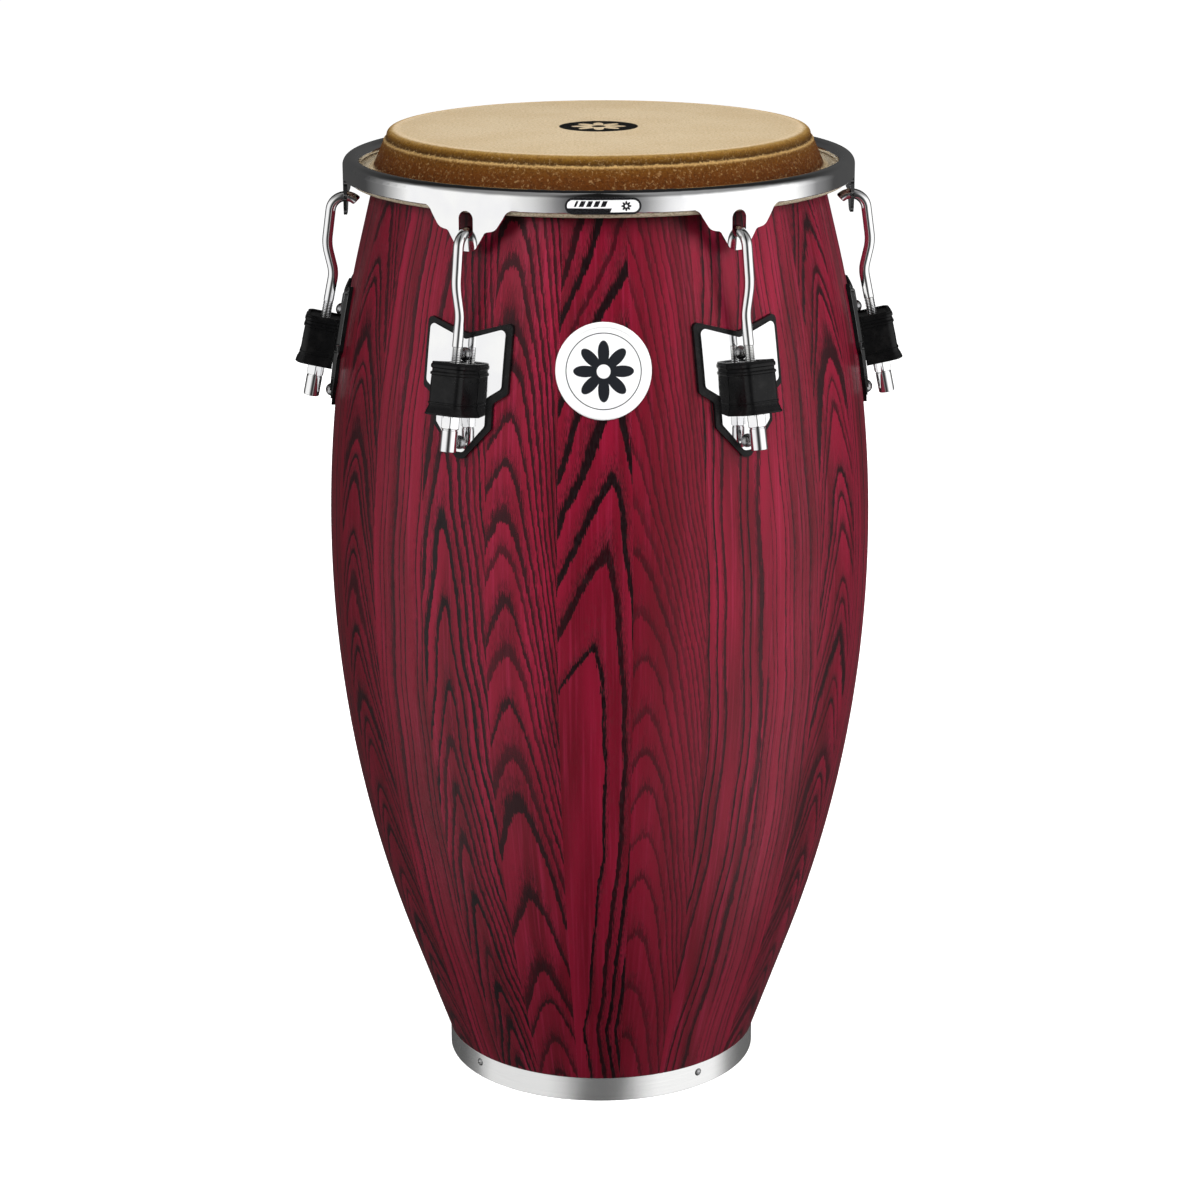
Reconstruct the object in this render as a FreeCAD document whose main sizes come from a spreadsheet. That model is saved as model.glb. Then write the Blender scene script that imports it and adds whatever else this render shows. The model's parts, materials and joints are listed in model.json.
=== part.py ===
"""A full-size conga drum: a staved wooden shell with a hide head held down by a steel hoop.

Millimetres. The origin is the centre of the base on the floor, +Z is up and -Y is the front.
Six tuning stations stand round the shell. Each station's sub-parts are drawn with the station on
the body's +X axis and are turned into place by the Placement of the body.
"""
import FreeCAD, Part
import math
import os
import re
import Sketcher
from FreeCAD import Placement, Rotation, Vector

STATIONS = 6
FIRST_STATION = -120
STATION_STEP = 360 / STATIONS
STAVES = 24
SCREWS = 4

SIZES = {
    # The playing surface and the outside of the shell: two cones joined by two long arcs.
    "head_height": 762.0,
    "belly_radius": 214.0,
    "belly_height": 440.0,
    "low_arc": 1000.0,
    "low_angle": 19.54,
    "top_arc": 985.0,
    "top_angle": 13.8,
    "wall": 11.0,
    "foot_radius": 123.7,
    "foot_height": 0.6,
    "stave_offset": 28.15,
    "glue_angle": 0.03,
    # The bearing edge that the hide bends over.
    "edge_centre_radius": 158.4,
    "edge_centre_height": 756.85,
    "edge_round": 2.75,
    "bearing_angle": 23.5,
    "bearing_height": 735.4,
    "lining": 6.0,
    "lining_low": 704.0,
    "lining_high": 752.0,
    # The chrome ring round the foot and its four screws.
    "ring_radius": 125.7,
    "ring_steel": 1.8,
    "ring_height": 20.0,
    "screw_height": 12.5,
    "screw_offset": 67.5,
    "screw_radius": 1.6,
    "screw_head_radius": 3.1,
    "screw_head_height": 1.5,
    "screw_length": 12.0,
    "screw_play": 0.2,
    "screw_slot": 0.35,
    # The hide and the ring that it is wrapped round.
    "hide": 2.2,
    "hide_gap": 0.2,
    "wrap_radius": 6.3,
    "wrap_hide": 1.6,
    "flesh_ring_radius": 188.5,
    "flesh_ring_height": 728.0,
    "flesh_wire": 4.5,
    # The tuning hoop: a band rolled over at its top, with six slotted tabs.
    "hoop_radius": 197.6,
    "hoop_steel": 2.5,
    "hoop_low": 726.0,
    "hoop_edge": 0.7,
    "roll_radius": 6.8,
    "roll_height": 735.2,
    "tab_low": 695.2,
    "slot_low": 704.5,
    "slot_high": 724.6,
    "slot_radius": 6.0,
    "label_height": 731.6,
    "label_half_length": 27.5,
    "label_radius": 6.0,
    "label_sheet": 0.5,
    # The side plate and its rubber pad, in layers outside the shell.
    "gap": 0.05,
    "pad_rubber": 3.0,
    "plate_steel": 2.2,
    "plate_half": 32.0,
    "plate_high": 641.0,
    "notch_height": 631.0,
    "wing_low": 598.0,
    "neck_half": 20.6,
    "neck_high": 590.5,
    "neck_low": 570.0,
    "tip_half": 3.0,
    "tip_low": 549.3,
    "plate_corner": 3.6,
    "pad_margin": 4.0,
    "channel_angle": 5.4,
    "channel_depth": 1.1,
    "backing_half": 13.0,
    "backing_high": 634.0,
    "backing_low": 542.0,
    "backing_steel": 2.0,
    # The bolts through the shell, square to its long arc.
    "upper_bolt_angle": 10.5,
    "lower_bolt_angle": 6.75,
    "bolt_radius": 2.5,
    "bolt_hole": 2.7,
    "bolt_head_radius": 5.2,
    "bolt_head_height": 4.5,
    "bolt_reach": 21.5,
    "washer_radius": 6.0,
    "washer_steel": 1.0,
    "washer_gap": 0.15,
    "lock_nut_flats": 8.0,
    "lock_nut_height": 5.0,
    # The lug: its rod leans out from the shell on its way down.
    "lug_tilt": 11.9,
    "lug_radius": 218.8,
    "lug_height": 593.0,
    "rod_radius": 4.0,
    "rod_fit": 0.05,
    "rod_end": 32.0,
    "bend_height": 644.4,
    "bend_round": 25.0,
    "bulge_round": 35.0,
    "bulge_lean": 12.3,
    "hook_lean": 8.0,
    "hook_round": 12.0,
    "hook_radius": 196.1,
    "hook_height": 697.0,
    "hook_tip_angle": 136.0,
    "bracket_half": 11.1,
    "bracket_front": 11.9,
    "bracket_steel": 3.0,
    "bracket_high": 20.6,
    "bracket_low": 11.6,
    "shelf_steel": 4.0,
    "shelf_hole": 4.5,
    "boot_half": 13.6,
    "boot_front": 14.4,
    "boot_rubber": 2.3,
    "boot_corner": 4.5,
    "boot_high": 23.6,
    "boot_low": 15.1,
    "boot_rib": 0.9,
    "boot_flare": 2.4,
    "boot_skirt": 5.6,
    "boot_gap": 0.3,
    "lug_washer_radius": 7.6,
    "lug_washer_steel": 1.5,
    "nut_flats": 13.0,
    "nut_high": 13.3,
    "nut_hex_low": 24.9,
    "nut_low": 41.7,
    "nut_sleeve": 6.2,
    "nut_round": 0.8,
    # The maker's plate on the front of the shell.
    "badge_radius": 35.0,
    "badge_height": 612.0,
    "badge_metal": 1.3,
}

doc = FreeCAD.newDocument("conga_drum")
sheet = doc.addObject("Spreadsheet::Sheet", "Sizes")
for row, (alias, number) in enumerate(SIZES.items(), start=1):
    sheet.set("A%d" % row, str(number))
    sheet.setAlias("A%d" % row, alias)
doc.recompute()


def size(expression):
    """The number that an expression in the sheet's aliases stands for."""
    result = sheet.evalExpression(str(expression))
    return float(getattr(result, "Value", result))


def bound(expression):
    """The same expression as another object has to write it."""
    return re.sub(r"[a-z_]+", lambda word: "Sizes." + word[0] if word[0] in SIZES else word[0],
                  str(expression))


def bind(thing, name, expression):
    """Ties a property to the sheet."""
    thing.setExpression(name, bound(expression))


# Outline points of the shell that several sub-parts share.

LOW_CONE_RADIUS = "(belly_radius - low_arc * (1 - cos(low_angle)))"
LOW_CONE_HEIGHT = "(belly_height - low_arc * sin(low_angle))"
TOP_CONE_RADIUS = "(belly_radius - top_arc * (1 - cos(top_angle)))"
TOP_CONE_HEIGHT = "(belly_height + top_arc * sin(top_angle))"
ARC_AXIS = "(belly_radius - top_arc)"
CONE_WALL = "wall / cos(top_angle)"
FOOT_WALL = "wall / cos(low_angle)"


def low_cone(height):
    """The shell's outer radius at a height on the lower cone."""
    return "(%s - (%s - (%s)) * tan(low_angle))" % (LOW_CONE_RADIUS, LOW_CONE_HEIGHT, height)


def top_cone(height):
    """The shell's outer radius at a height on the upper cone."""
    return "(%s - ((%s) - %s) * tan(top_angle))" % (TOP_CONE_RADIUS, height, TOP_CONE_HEIGHT)


def top_arc_layer(height, offset):
    """The radius at a height on a surface that lies an offset outside the shell's upper arc."""
    return "(%s + sqrt((top_arc + %s)^2 - (%s - belly_height)^2))" % (ARC_AXIS, offset, height)


# Bodies, sketches and features.


def new_body(label, turn=0.0, tilted=False):
    """A body turned about Z. A tilted one has its own Z along the lug's rod."""
    body = doc.addObject("PartDesign::Body", label)
    body.Label = label
    body.Placement = Placement(Vector(), Rotation(Vector(0, 0, 1), turn))
    if tilted:
        lug = Placement(Vector(size("lug_radius"), 0, size("lug_height")),
                        Rotation(Vector(0, 1, 0), -size("lug_tilt")))
        body.Placement = body.Placement * lug
    return body


def station_turn(station):
    """The angle from +X of a station, counted from 1."""
    return FIRST_STATION + STATION_STEP * (station - 1)


def origin_feature(body, role):
    """One of the body's own base planes or axes."""
    return next(item for item in body.Origin.OriginFeatures if item.Role == role)


def new_sketch(body, name, plane="XZ_Plane"):
    """A sketch on one of the body's base planes."""
    sketch = body.newObject("Sketcher::SketchObject", body.Label + "_" + name)
    sketch.AttachmentSupport = [(origin_feature(body, plane), "")]
    sketch.MapMode = "FlatFace"
    return sketch


def pin(sketch, geometry, end, x, y):
    """Fixes one point of a sketch by its two coordinates."""
    for kind, axis, coordinate in (("DistanceX", -2, x), ("DistanceY", -1, y)):
        if size(coordinate) == 0:
            sketch.addConstraint(Sketcher.Constraint("PointOnObject", geometry, end, axis))
            continue
        rule = sketch.addConstraint(
            Sketcher.Constraint(kind, -1, 1, geometry, end, size(coordinate)))
        bind(sketch, "Constraints[%d]" % rule, coordinate)


def round_to(sketch, geometry, radius):
    """Gives an arc or circle its radius."""
    rule = sketch.addConstraint(Sketcher.Constraint("Radius", geometry, size(radius)))
    bind(sketch, "Constraints[%d]" % rule, radius)


def add_arc(sketch, start, end, radius, left):
    """A short arc from start to end; left puts its centre to the left of the way it is drawn."""
    chord = end - start
    reach = math.sqrt(max(radius ** 2 - chord.Length ** 2 / 4, 0))
    side = Vector(-chord.y, chord.x, 0).normalize() * (reach if left else -reach)
    centre = (start + end) / 2 + side
    angles = [math.atan2(point.y - centre.y, point.x - centre.x) for point in (start, end)]
    if not left:
        angles.reverse()
    circle = Part.Circle(centre, Vector(0, 0, 1), radius)
    return sketch.addGeometry(Part.ArcOfCircle(circle, *angles), False)


def outline(sketch, points):
    """A closed outline. A point is (x, y), or (x, y, radius, side) if an arc leaves it."""
    spots = [Vector(size(point[0]), size(point[1]), 0) for point in points]
    edges = []
    for index, point in enumerate(points):
        start = spots[index]
        end = spots[(index + 1) % len(spots)]
        if len(point) == 2:
            geometry = sketch.addGeometry(Part.LineSegment(start, end), False)
            edges.append((geometry, 1, 2))
        else:
            left = point[3] == "left"
            geometry = add_arc(sketch, start, end, size(point[2]), left)
            edges.append((geometry, 1, 2) if left else (geometry, 2, 1))
    for index, (geometry, start_end, _) in enumerate(edges):
        before, _, last_end = edges[index - 1]
        sketch.addConstraint(
            Sketcher.Constraint("Coincident", before, last_end, geometry, start_end))
        pin(sketch, geometry, start_end, points[index][0], points[index][1])
        if len(points[index]) > 2:
            round_to(sketch, geometry, points[index][2])


def rectangle(sketch, left, right, low, high):
    """A closed rectangle."""
    outline(sketch, [(left, low), (right, low), (right, high), (left, high)])


def add_circle(sketch, radius, x=0, y=0):
    """A circle with its centre at x, y."""
    circle = Part.Circle(Vector(size(x), size(y), 0), Vector(0, 0, 1), size(radius))
    geometry = sketch.addGeometry(circle, False)
    pin(sketch, geometry, 3, x, y)
    round_to(sketch, geometry, radius)


def add_hexagon(sketch, flats):
    """A regular hexagon about the sketch's origin, with two sides upright."""
    corner = "%s / 2 / cos(30)" % flats
    outline(sketch, [("%s * cos(%d)" % (corner, turn), "%s * sin(%d)" % (corner, turn))
                     if turn % 180 != 90 else (0, "%s * sin(%d)" % (corner, turn))
                     for turn in range(30, 390, 60)])


def add_feature(body, kind, name, sketch):
    """A feature on one sketch; it becomes the body's tip."""
    feature = body.newObject("PartDesign::" + kind, body.Label + "_" + name)
    feature.Profile = sketch
    sketch.Visibility = False
    body.Tip = feature
    return feature


def revolve(body, name, sketch, kind="Revolution", axis="V_Axis", angle=360):
    """Turns a sketch about one of its own axes, to both sides of its plane."""
    feature = add_feature(body, kind, name, sketch)
    feature.ReferenceAxis = (sketch, [axis])
    feature.Midplane = True
    feature.Angle = size(angle)
    bind(feature, "Angle", angle)
    return feature


def pad(body, name, sketch, length):
    """Extrudes a sketch along its normal."""
    feature = add_feature(body, "Pad", name, sketch)
    feature.Length = size(length)
    bind(feature, "Length", length)
    return feature


def pattern(body, name, features, count):
    """Repeats features round the body's Z axis."""
    repeat = body.newObject("PartDesign::PolarPattern", body.Label + "_" + name)
    repeat.Originals = features
    repeat.Axis = (origin_feature(body, "Z_Axis"), [""])
    repeat.Angle = 360
    repeat.Occurrences = count
    body.Tip = repeat
    return repeat


def shift(sketch, x=0, y=0, z=0):
    """Moves a sketch in its own axes."""
    for axis, distance in (("x", x), ("y", y), ("z", z)):
        bind(sketch, "AttachmentOffset.Base." + axis, distance)


def turn_sketch(sketch, axis, angle):
    """Turns a sketch about one of its own axes."""
    sketch.AttachmentOffset = Placement(Vector(), Rotation(axis, size(angle)))
    bind(sketch, "AttachmentOffset.Rotation.Angle", angle)


def bolt_sketch(body, name, angle):
    """A sketch whose X axis is a bolt's axis, measured from the centre of the shell's upper arc."""
    sketch = new_sketch(body, name)
    turn_sketch(sketch, Vector(0, 0, 1), angle)
    shift(sketch, x=ARC_AXIS, y="belly_height")
    return sketch


def rod_plane(body, name, along):
    """A sketch square to the lug's rod, a distance along it from the lug's centre."""
    sketch = new_sketch(body, name, "XY_Plane")
    turn_sketch(sketch, Vector(0, 1, 0), "-lug_tilt")
    shift(sketch, x="lug_radius - (%s) * sin(lug_tilt)" % along,
          z="lug_height + (%s) * cos(lug_tilt)" % along)
    return sketch


# The block of space round a lug that blanks fill and trimming cuts sweep, and how far behind its
# rod a lug part is drawn before it is cut to the plate.
CUT_LOW = 530
CUT_HIGH = 665
CUT_NEAR = 140
CUT_FAR = 265
BLANK_NEAR = 160
BLANK_DEPTH = 80
LUG_BACK = -24
# The same round the hoop's band.
BAND_LOW = 690
BAND_HIGH = 760
BAND_DEPTH = 40
BORE_REACH = 5


def trim_inside(sketch, offset):
    """The region inside a layer of the shell's upper arc."""
    outline(sketch, [(CUT_NEAR, CUT_LOW),
                     (top_arc_layer(CUT_LOW, offset), CUT_LOW, "top_arc + " + offset, "left"),
                     (top_arc_layer(CUT_HIGH, offset), CUT_HIGH), (CUT_NEAR, CUT_HIGH)])


def trim_outside(sketch, offset):
    """The region outside a layer of the shell's upper arc."""
    outline(sketch, [(CUT_FAR, CUT_LOW), (CUT_FAR, CUT_HIGH),
                     (top_arc_layer(CUT_HIGH, offset), CUT_HIGH, "top_arc + " + offset, "right"),
                     (top_arc_layer(CUT_LOW, offset), CUT_LOW)])


def cut_layer(body, inner, outer):
    """Leaves only what lies between two layers of the shell's upper arc."""
    sketch = new_sketch(body, "layer")
    trim_inside(sketch, inner)
    trim_outside(sketch, outer)
    revolve(body, "layer_cut", sketch, "Groove")


def bolt_holes(body, near, far):
    """Two bolt holes, from one distance outside the shell to another."""
    cuts = []
    for name in ("upper", "lower"):
        sketch = bolt_sketch(body, name + "_hole", name + "_bolt_angle")
        rectangle(sketch, "top_arc + " + near, "top_arc + " + far, 0, "bolt_hole")
        cuts.append(revolve(body, name + "_hole_cut", sketch, "Groove", "H_Axis"))
    return cuts


def round_corners(body, feature, radius):
    """Rounds every edge of a pad that runs along X."""
    doc.recompute()
    names = ["Edge%d" % number for number, edge in enumerate(feature.Shape.Edges, start=1)
             if abs(edge.tangentAt(edge.FirstParameter).x) > 0.999]
    fillet = body.newObject("PartDesign::Fillet", body.Label + "_corners")
    fillet.Base = (feature, names)
    fillet.Radius = size(radius)
    bind(fillet, "Radius", radius)
    body.Tip = fillet


# The wooden shell.


def make_shell_staves():
    """Staves with a hair of glue between them, bored for the plate bolts and the ring screws."""
    body = new_body("shell_staves", FIRST_STATION)
    profile = new_sketch(body, "profile")
    turn_sketch(profile, Vector(0, 1, 0), "stave_offset")
    step = "ring_height + 0.3"
    inner_arc = "low_arc - wall"
    outline(profile, [
        ("%s - %s" % (low_cone("foot_height"), FOOT_WALL), "foot_height"),
        ("foot_radius", "foot_height"),
        ("foot_radius", step),
        (low_cone(step), step),
        (LOW_CONE_RADIUS, LOW_CONE_HEIGHT, "low_arc", "left"),
        ("belly_radius", "belly_height", "top_arc", "left"),
        (TOP_CONE_RADIUS, TOP_CONE_HEIGHT),
        (top_cone("bearing_height"), "bearing_height"),
        ("edge_centre_radius + edge_round * cos(bearing_angle)",
         "edge_centre_height + edge_round * sin(bearing_angle)", "edge_round", "left"),
        ("edge_centre_radius", "edge_centre_height + edge_round"),
        ("%s - %s" % (top_cone("edge_centre_height"), CONE_WALL),
         "edge_centre_height + edge_round"),
        ("%s - wall * cos(top_angle)" % TOP_CONE_RADIUS,
         "%s - wall * sin(top_angle)" % TOP_CONE_HEIGHT, "top_arc - wall", "right"),
        ("belly_radius - wall", "belly_height", inner_arc, "right"),
        ("%s - wall * cos(low_angle)" % LOW_CONE_RADIUS,
         "%s + wall * sin(low_angle)" % LOW_CONE_HEIGHT),
    ])
    stave = revolve(body, "stave", profile, angle="%g - glue_angle" % (360 / STAVES))
    pattern(body, "ring", [stave], STAVES)
    pattern(body, "bolt_holes", bolt_holes(body, "(-wall - 5)", "5"), STATIONS)
    bore = new_sketch(body, "screw_hole")
    turn_sketch(bore, Vector(0, 1, 0), "screw_offset")
    shift(bore, y="screw_height")
    rectangle(bore, "foot_radius - screw_length", "foot_radius + %d" % BORE_REACH,
              0, "screw_radius + gap")
    hole = revolve(body, "screw_hole_cut", bore, "Groove", "H_Axis")
    pattern(body, "screw_holes", [hole], SCREWS)
    return [body]


def make_lining():
    """The hoop of wood glued inside the top of the shell."""
    body = new_body("top_reinforcing_ring")
    sketch = new_sketch(body, "section")
    outside = CONE_WALL + " + gap"
    inside = outside + " + lining"
    outline(sketch, [("%s - (%s)" % (top_cone(height), depth), height) for height, depth in (
        ("lining_low", inside), ("lining_low", outside),
        ("lining_high", outside), ("lining_high", inside))])
    revolve(body, "ring", sketch)
    return [body]


# The ring round the foot.


def screw_sketch(body, name):
    """A sketch whose X axis is a ring screw's axis."""
    sketch = new_sketch(body, name)
    shift(sketch, y="screw_height")
    return sketch


def make_base_ring():
    """A chrome band with eased edges and four screw holes."""
    body = new_body("base_ring", FIRST_STATION + size("screw_offset"))
    section = new_sketch(body, "section")
    inner = "ring_radius - ring_steel"
    ease = "ring_steel / 3"
    outline(section, [
        (inner, 0), ("ring_radius - %s" % ease, 0, ease, "left"), ("ring_radius", ease),
        ("ring_radius", "ring_height - %s" % ease, ease, "left"),
        ("ring_radius - %s" % ease, "ring_height"), (inner, "ring_height")])
    revolve(body, "band", section)
    bore = screw_sketch(body, "hole")
    rectangle(bore, "ring_radius - %d" % BORE_REACH, "ring_radius + %d" % BORE_REACH,
              0, "screw_radius + screw_play")
    hole = revolve(body, "hole_cut", bore, "Groove", "H_Axis")
    pattern(body, "holes", [hole], SCREWS)
    return [body]


def make_base_ring_screws():
    """Four round-headed wood screws with a slot."""
    body = new_body("base_ring_screws", FIRST_STATION + size("screw_offset"))
    sketch = screw_sketch(body, "profile")
    seat = "ring_radius + gap"
    dome = "(screw_head_radius^2 + screw_head_height^2) / (2 * screw_head_height)"
    outline(sketch, [
        ("foot_radius - screw_length + 2", 0), (seat + " + screw_head_height", 0, dome, "left"),
        (seat, "screw_head_radius"), (seat, "screw_radius"),
        ("foot_radius - screw_length + 4", "screw_radius")])
    screw = revolve(body, "screw", sketch, axis="H_Axis")
    slot = new_sketch(body, "slot", "YZ_Plane")
    shift(slot, y="screw_height", z="ring_radius + screw_head_height / 2 + gap")
    rectangle(slot, -BORE_REACH, BORE_REACH, "-screw_slot", "screw_slot")
    cut = add_feature(body, "Pocket", "slot_cut", slot)
    cut.Length = BORE_REACH
    cut.Reversed = True
    pattern(body, "screws", [screw, cut], SCREWS)
    return [body]


# The head: the hide, the ring it is wrapped round, and the hoop that pulls it down.


def make_drumhead_skin():
    """The hide: flat on top, over the bearing edge, down the shell and round its ring."""
    body = new_body("drumhead_skin")
    sketch = new_sketch(body, "section")
    inner = "(edge_round + hide_gap)"
    outer = "(edge_round + hide_gap + hide)"
    collar = "flesh_ring_height + wrap_radius * sin(140)"
    lean = "tan(bearing_angle)"

    def on_edge(radius):
        """Where the hide leaves the bearing edge."""
        return ("edge_centre_radius + %s * cos(bearing_angle)" % radius,
                "edge_centre_height + %s * sin(bearing_angle)" % radius)

    def down_shell(radius, height):
        """A point on the slope below the bearing edge."""
        across, up = on_edge(radius)
        return ("%s + ((%s) - (%s)) * %s" % (across, up, height, lean), height)

    def on_wrap(radius, turn):
        """A point on the wrapped part, at an angle from its centre."""
        return ("flesh_ring_radius + (%s) * cos(%d)" % (radius, turn),
                "flesh_ring_height + (%s) * sin(%d)" % (radius, turn))

    around = "wrap_radius"
    within = "wrap_radius - wrap_hide"
    points = [(0, "head_height - hide"), (0, "head_height"),
              ("edge_centre_radius", "head_height", outer, "right"), on_edge(outer),
              down_shell(outer, "bearing_height - 0.6") + (3.2, "left"),
              ("flesh_ring_radius - 12", collar + " - 0.8")]
    points += [on_wrap(around, turn) + (around, "right") for turn in (140, 60, -20, -100)]
    points += [on_wrap(around, -150)]
    points += [on_wrap(within, turn) + (within, "left") for turn in (-150, -100, -20, 60)]
    points += [on_wrap(within, 140), ("flesh_ring_radius - 11.6", collar + " - 2.7")]
    points += [(down_shell(inner, "bearing_height - 2")[0], "bearing_height - 3.6"),
               down_shell(inner, "bearing_height - 1.2"),
               on_edge(inner) + (inner, "left"),
               ("edge_centre_radius", "head_height - hide")]
    outline(sketch, points)
    revolve(body, "hide", sketch)
    return [body]


def make_flesh_hoop():
    """The steel ring inside the hide's rolled edge."""
    ring = doc.addObject("Part::Torus", "flesh_hoop")
    ring.Label = "flesh_hoop"
    bind(ring, "Radius1", "flesh_ring_radius")
    bind(ring, "Radius2", "flesh_wire")
    bind(ring, "Placement.Base.z", "flesh_ring_height")
    return [ring]


def make_hoop():
    """The tabs are cut to the band's own cylinder, then the rolled band joins them."""
    body = new_body("hoop", FIRST_STATION)
    tab = new_sketch(body, "tab", "YZ_Plane")
    shift(tab, z="hoop_radius - %d / 2" % BAND_DEPTH)
    right = [("4.2", "tab_low", 9.5, "left"), ("9.8", "tab_low + 5.2"),
             ("14.4", "tab_low + 12.6", 4, "right"), ("18", "tab_low + 15.0"),
             ("20", "tab_low + 15.4", 8, "left"), ("25.4", "tab_low + 18.8"),
             ("30.2", "tab_low + 26.0", 9, "right"), ("36.5", "hoop_low + hoop_edge")]
    top = "hoop_low + 3"
    outline(tab, right + [("36.5", top), ("-36.5", top)] + mirrored(right))
    ring = "slot_radius"
    low = "slot_low + slot_radius"
    high = "slot_high - slot_radius"
    outline(tab, [("-slot_radius", low, ring, "left"), (0, "slot_low", ring, "left"),
                  ("slot_radius", low), ("slot_radius", high, ring, "left"),
                  (0, "slot_high", ring, "left"), ("-slot_radius", high)])
    tabs = pattern(body, "tabs", [pad(body, "tab_pad", tab, BAND_DEPTH)], STATIONS)
    band = new_sketch(body, "tab_trim")
    inner = "hoop_radius - hoop_steel"
    rectangle(band, "hoop_radius - %d" % BAND_DEPTH, inner, BAND_LOW, "roll_height")
    rectangle(band, "hoop_radius", "hoop_radius + %d" % BAND_DEPTH, BAND_LOW, "roll_height")
    body.Tip = tabs
    revolve(body, "tab_trim_cut", band, "Groove")
    section = new_sketch(body, "section")
    middle = "hoop_radius - roll_radius"
    inside = "roll_radius - hoop_steel"
    lip = "hoop_radius - 2 * roll_radius"
    end = "hoop_steel / 2"
    outline(section, [
        ("hoop_radius - hoop_edge", "hoop_low", "hoop_edge", "left"),
        ("hoop_radius", "hoop_low + hoop_edge"),
        ("hoop_radius", "roll_height", "roll_radius", "left"),
        (middle, "roll_height + roll_radius", "roll_radius", "left"),
        (lip, "roll_height", end, "left"),
        ("%s + %s" % (lip, end), "roll_height - %s" % end, end, "left"),
        (lip + " + hoop_steel", "roll_height", inside, "right"),
        (middle, "roll_height + " + inside, inside, "right"),
        (inner, "roll_height"), (inner, "hoop_low + hoop_edge", "hoop_edge", "left"),
        (inner + " + hoop_edge", "hoop_low")])
    revolve(body, "band", section)
    return [body]


def mirrored(points):
    """The other half of an outline that is alike on both sides of Y = 0."""
    half = []
    for index in range(len(points) - 1, -1, -1):
        point = ("-(%s)" % points[index][0], points[index][1])
        half.append(point + points[index - 1][2:] if index else point)
    return half


def make_hoop_label():
    """The thin oval plate on the front of the hoop."""
    body = new_body("hoop_label", -90)
    sketch = new_sketch(body, "outline", "YZ_Plane")
    shift(sketch, z="hoop_radius - %d / 2" % BAND_DEPTH)
    end = "label_radius"
    flat = "label_half_length - label_radius"
    low = "label_height - label_radius"
    high = "label_height + label_radius"
    outline(sketch, [
        ("-(%s)" % flat, low), (flat, low, end, "left"),
        ("label_half_length", "label_height", end, "left"), (flat, high),
        ("-(%s)" % flat, high, end, "left"),
        ("-label_half_length", "label_height", end, "left")])
    pad(body, "blank", sketch, BAND_DEPTH)
    trim = new_sketch(body, "trim")
    rectangle(trim, "hoop_radius - %d" % BAND_DEPTH, "hoop_radius + gap", BAND_LOW, BAND_HIGH)
    rectangle(trim, "hoop_radius + gap + label_sheet", "hoop_radius + %d" % BAND_DEPTH,
              BAND_LOW, BAND_HIGH)
    revolve(body, "trim_cut", trim, "Groove")
    return [body]


# The side plates and what holds them to the shell.


def plate_outline(sketch, margin):
    """The winged plate's outline, or one that stands outside it by a margin."""
    half = "plate_half + %s" % margin
    neck = "neck_half + %s" % margin
    right = [("tip_half", "tip_low - %s * 1.3" % margin), (neck, "neck_low - %s * 0.6" % margin),
             (neck, "neck_high - %s * 1.1" % margin), (half, "wing_low - %s * 1.1" % margin),
             (half, "plate_high + %s" % margin)]
    notch = [(0, "notch_height + %s" % margin)]
    outline(sketch, right + notch + mirrored(right))


def make_plate_layer(label, station, margin, inner, outer):
    """A sheet between two layers of the shell's curve, with rounded corners and bolt holes."""
    body = new_body("%s_%d" % (label, station), station_turn(station))
    sketch = new_sketch(body, "outline", "YZ_Plane")
    shift(sketch, z=BLANK_NEAR)
    plate_outline(sketch, margin)
    blank = pad(body, "blank", sketch, BLANK_DEPTH)
    round_corners(body, blank, "plate_corner")
    cut_layer(body, inner, outer)
    return body


def make_gasket(station):
    """The rubber pad between the plate and the wood."""
    body = make_plate_layer("gasket", station, "pad_margin", "gap", "(pad_rubber - gap)")
    bolt_holes(body, "(-5)", "12")
    return body


def make_side_plate(station):
    """The chrome plate, with a shallow channel down its middle."""
    face = "(pad_rubber + plate_steel)"
    body = make_plate_layer("side_plate", station, "0", "pad_rubber", face)
    channel = new_sketch(body, "channel")
    trim_outside(channel, "(pad_rubber + plate_steel - channel_depth)")
    revolve(body, "channel_cut", channel, "Groove", angle="channel_angle")
    bolt_holes(body, "(-5)", "15")
    return body


def make_backing_plate(station):
    """The strip inside the shell that the bolts pull against."""
    body = new_body("backing_plate_%d" % station, station_turn(station))
    sketch = new_sketch(body, "outline", "YZ_Plane")
    shift(sketch, z=BLANK_NEAR)
    rectangle(sketch, "-backing_half", "backing_half", "backing_low", "backing_high")
    blank = pad(body, "blank", sketch, BLANK_DEPTH)
    round_corners(body, blank, "plate_corner")
    cut_layer(body, "(-wall - backing_steel)", "(-wall - gap)")
    bolt_holes(body, "(-wall - 12)", "5")
    return body


def bolt_group(label, points):
    """One turned piece on each bolt's axis, repeated at every station."""
    body = new_body(label, FIRST_STATION)
    pieces = []
    for name in ("upper", "lower"):
        sketch = bolt_sketch(body, name, name + "_bolt_angle")
        outline(sketch, points)
        pieces.append(revolve(body, name + "_piece", sketch, axis="H_Axis"))
    pattern(body, "stations", pieces, STATIONS)
    return [body]


def make_plate_bolts():
    """Dome-headed bolts. The seat is the floor of the plate's channel."""
    dome = "(bolt_head_radius^2 + bolt_head_height^2) / (2 * bolt_head_height)"
    seat = "(top_arc + pad_rubber + plate_steel - channel_depth + gap)"
    return bolt_group("plate_bolts", [
        ("top_arc - bolt_reach", 0), (seat + " + bolt_head_height", 0, dome, "left"),
        (seat, "bolt_head_radius"), (seat, "bolt_radius"),
        ("top_arc - bolt_reach", "bolt_radius")])


INSIDE_FACE = "(top_arc - wall - backing_steel - washer_gap)"


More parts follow.
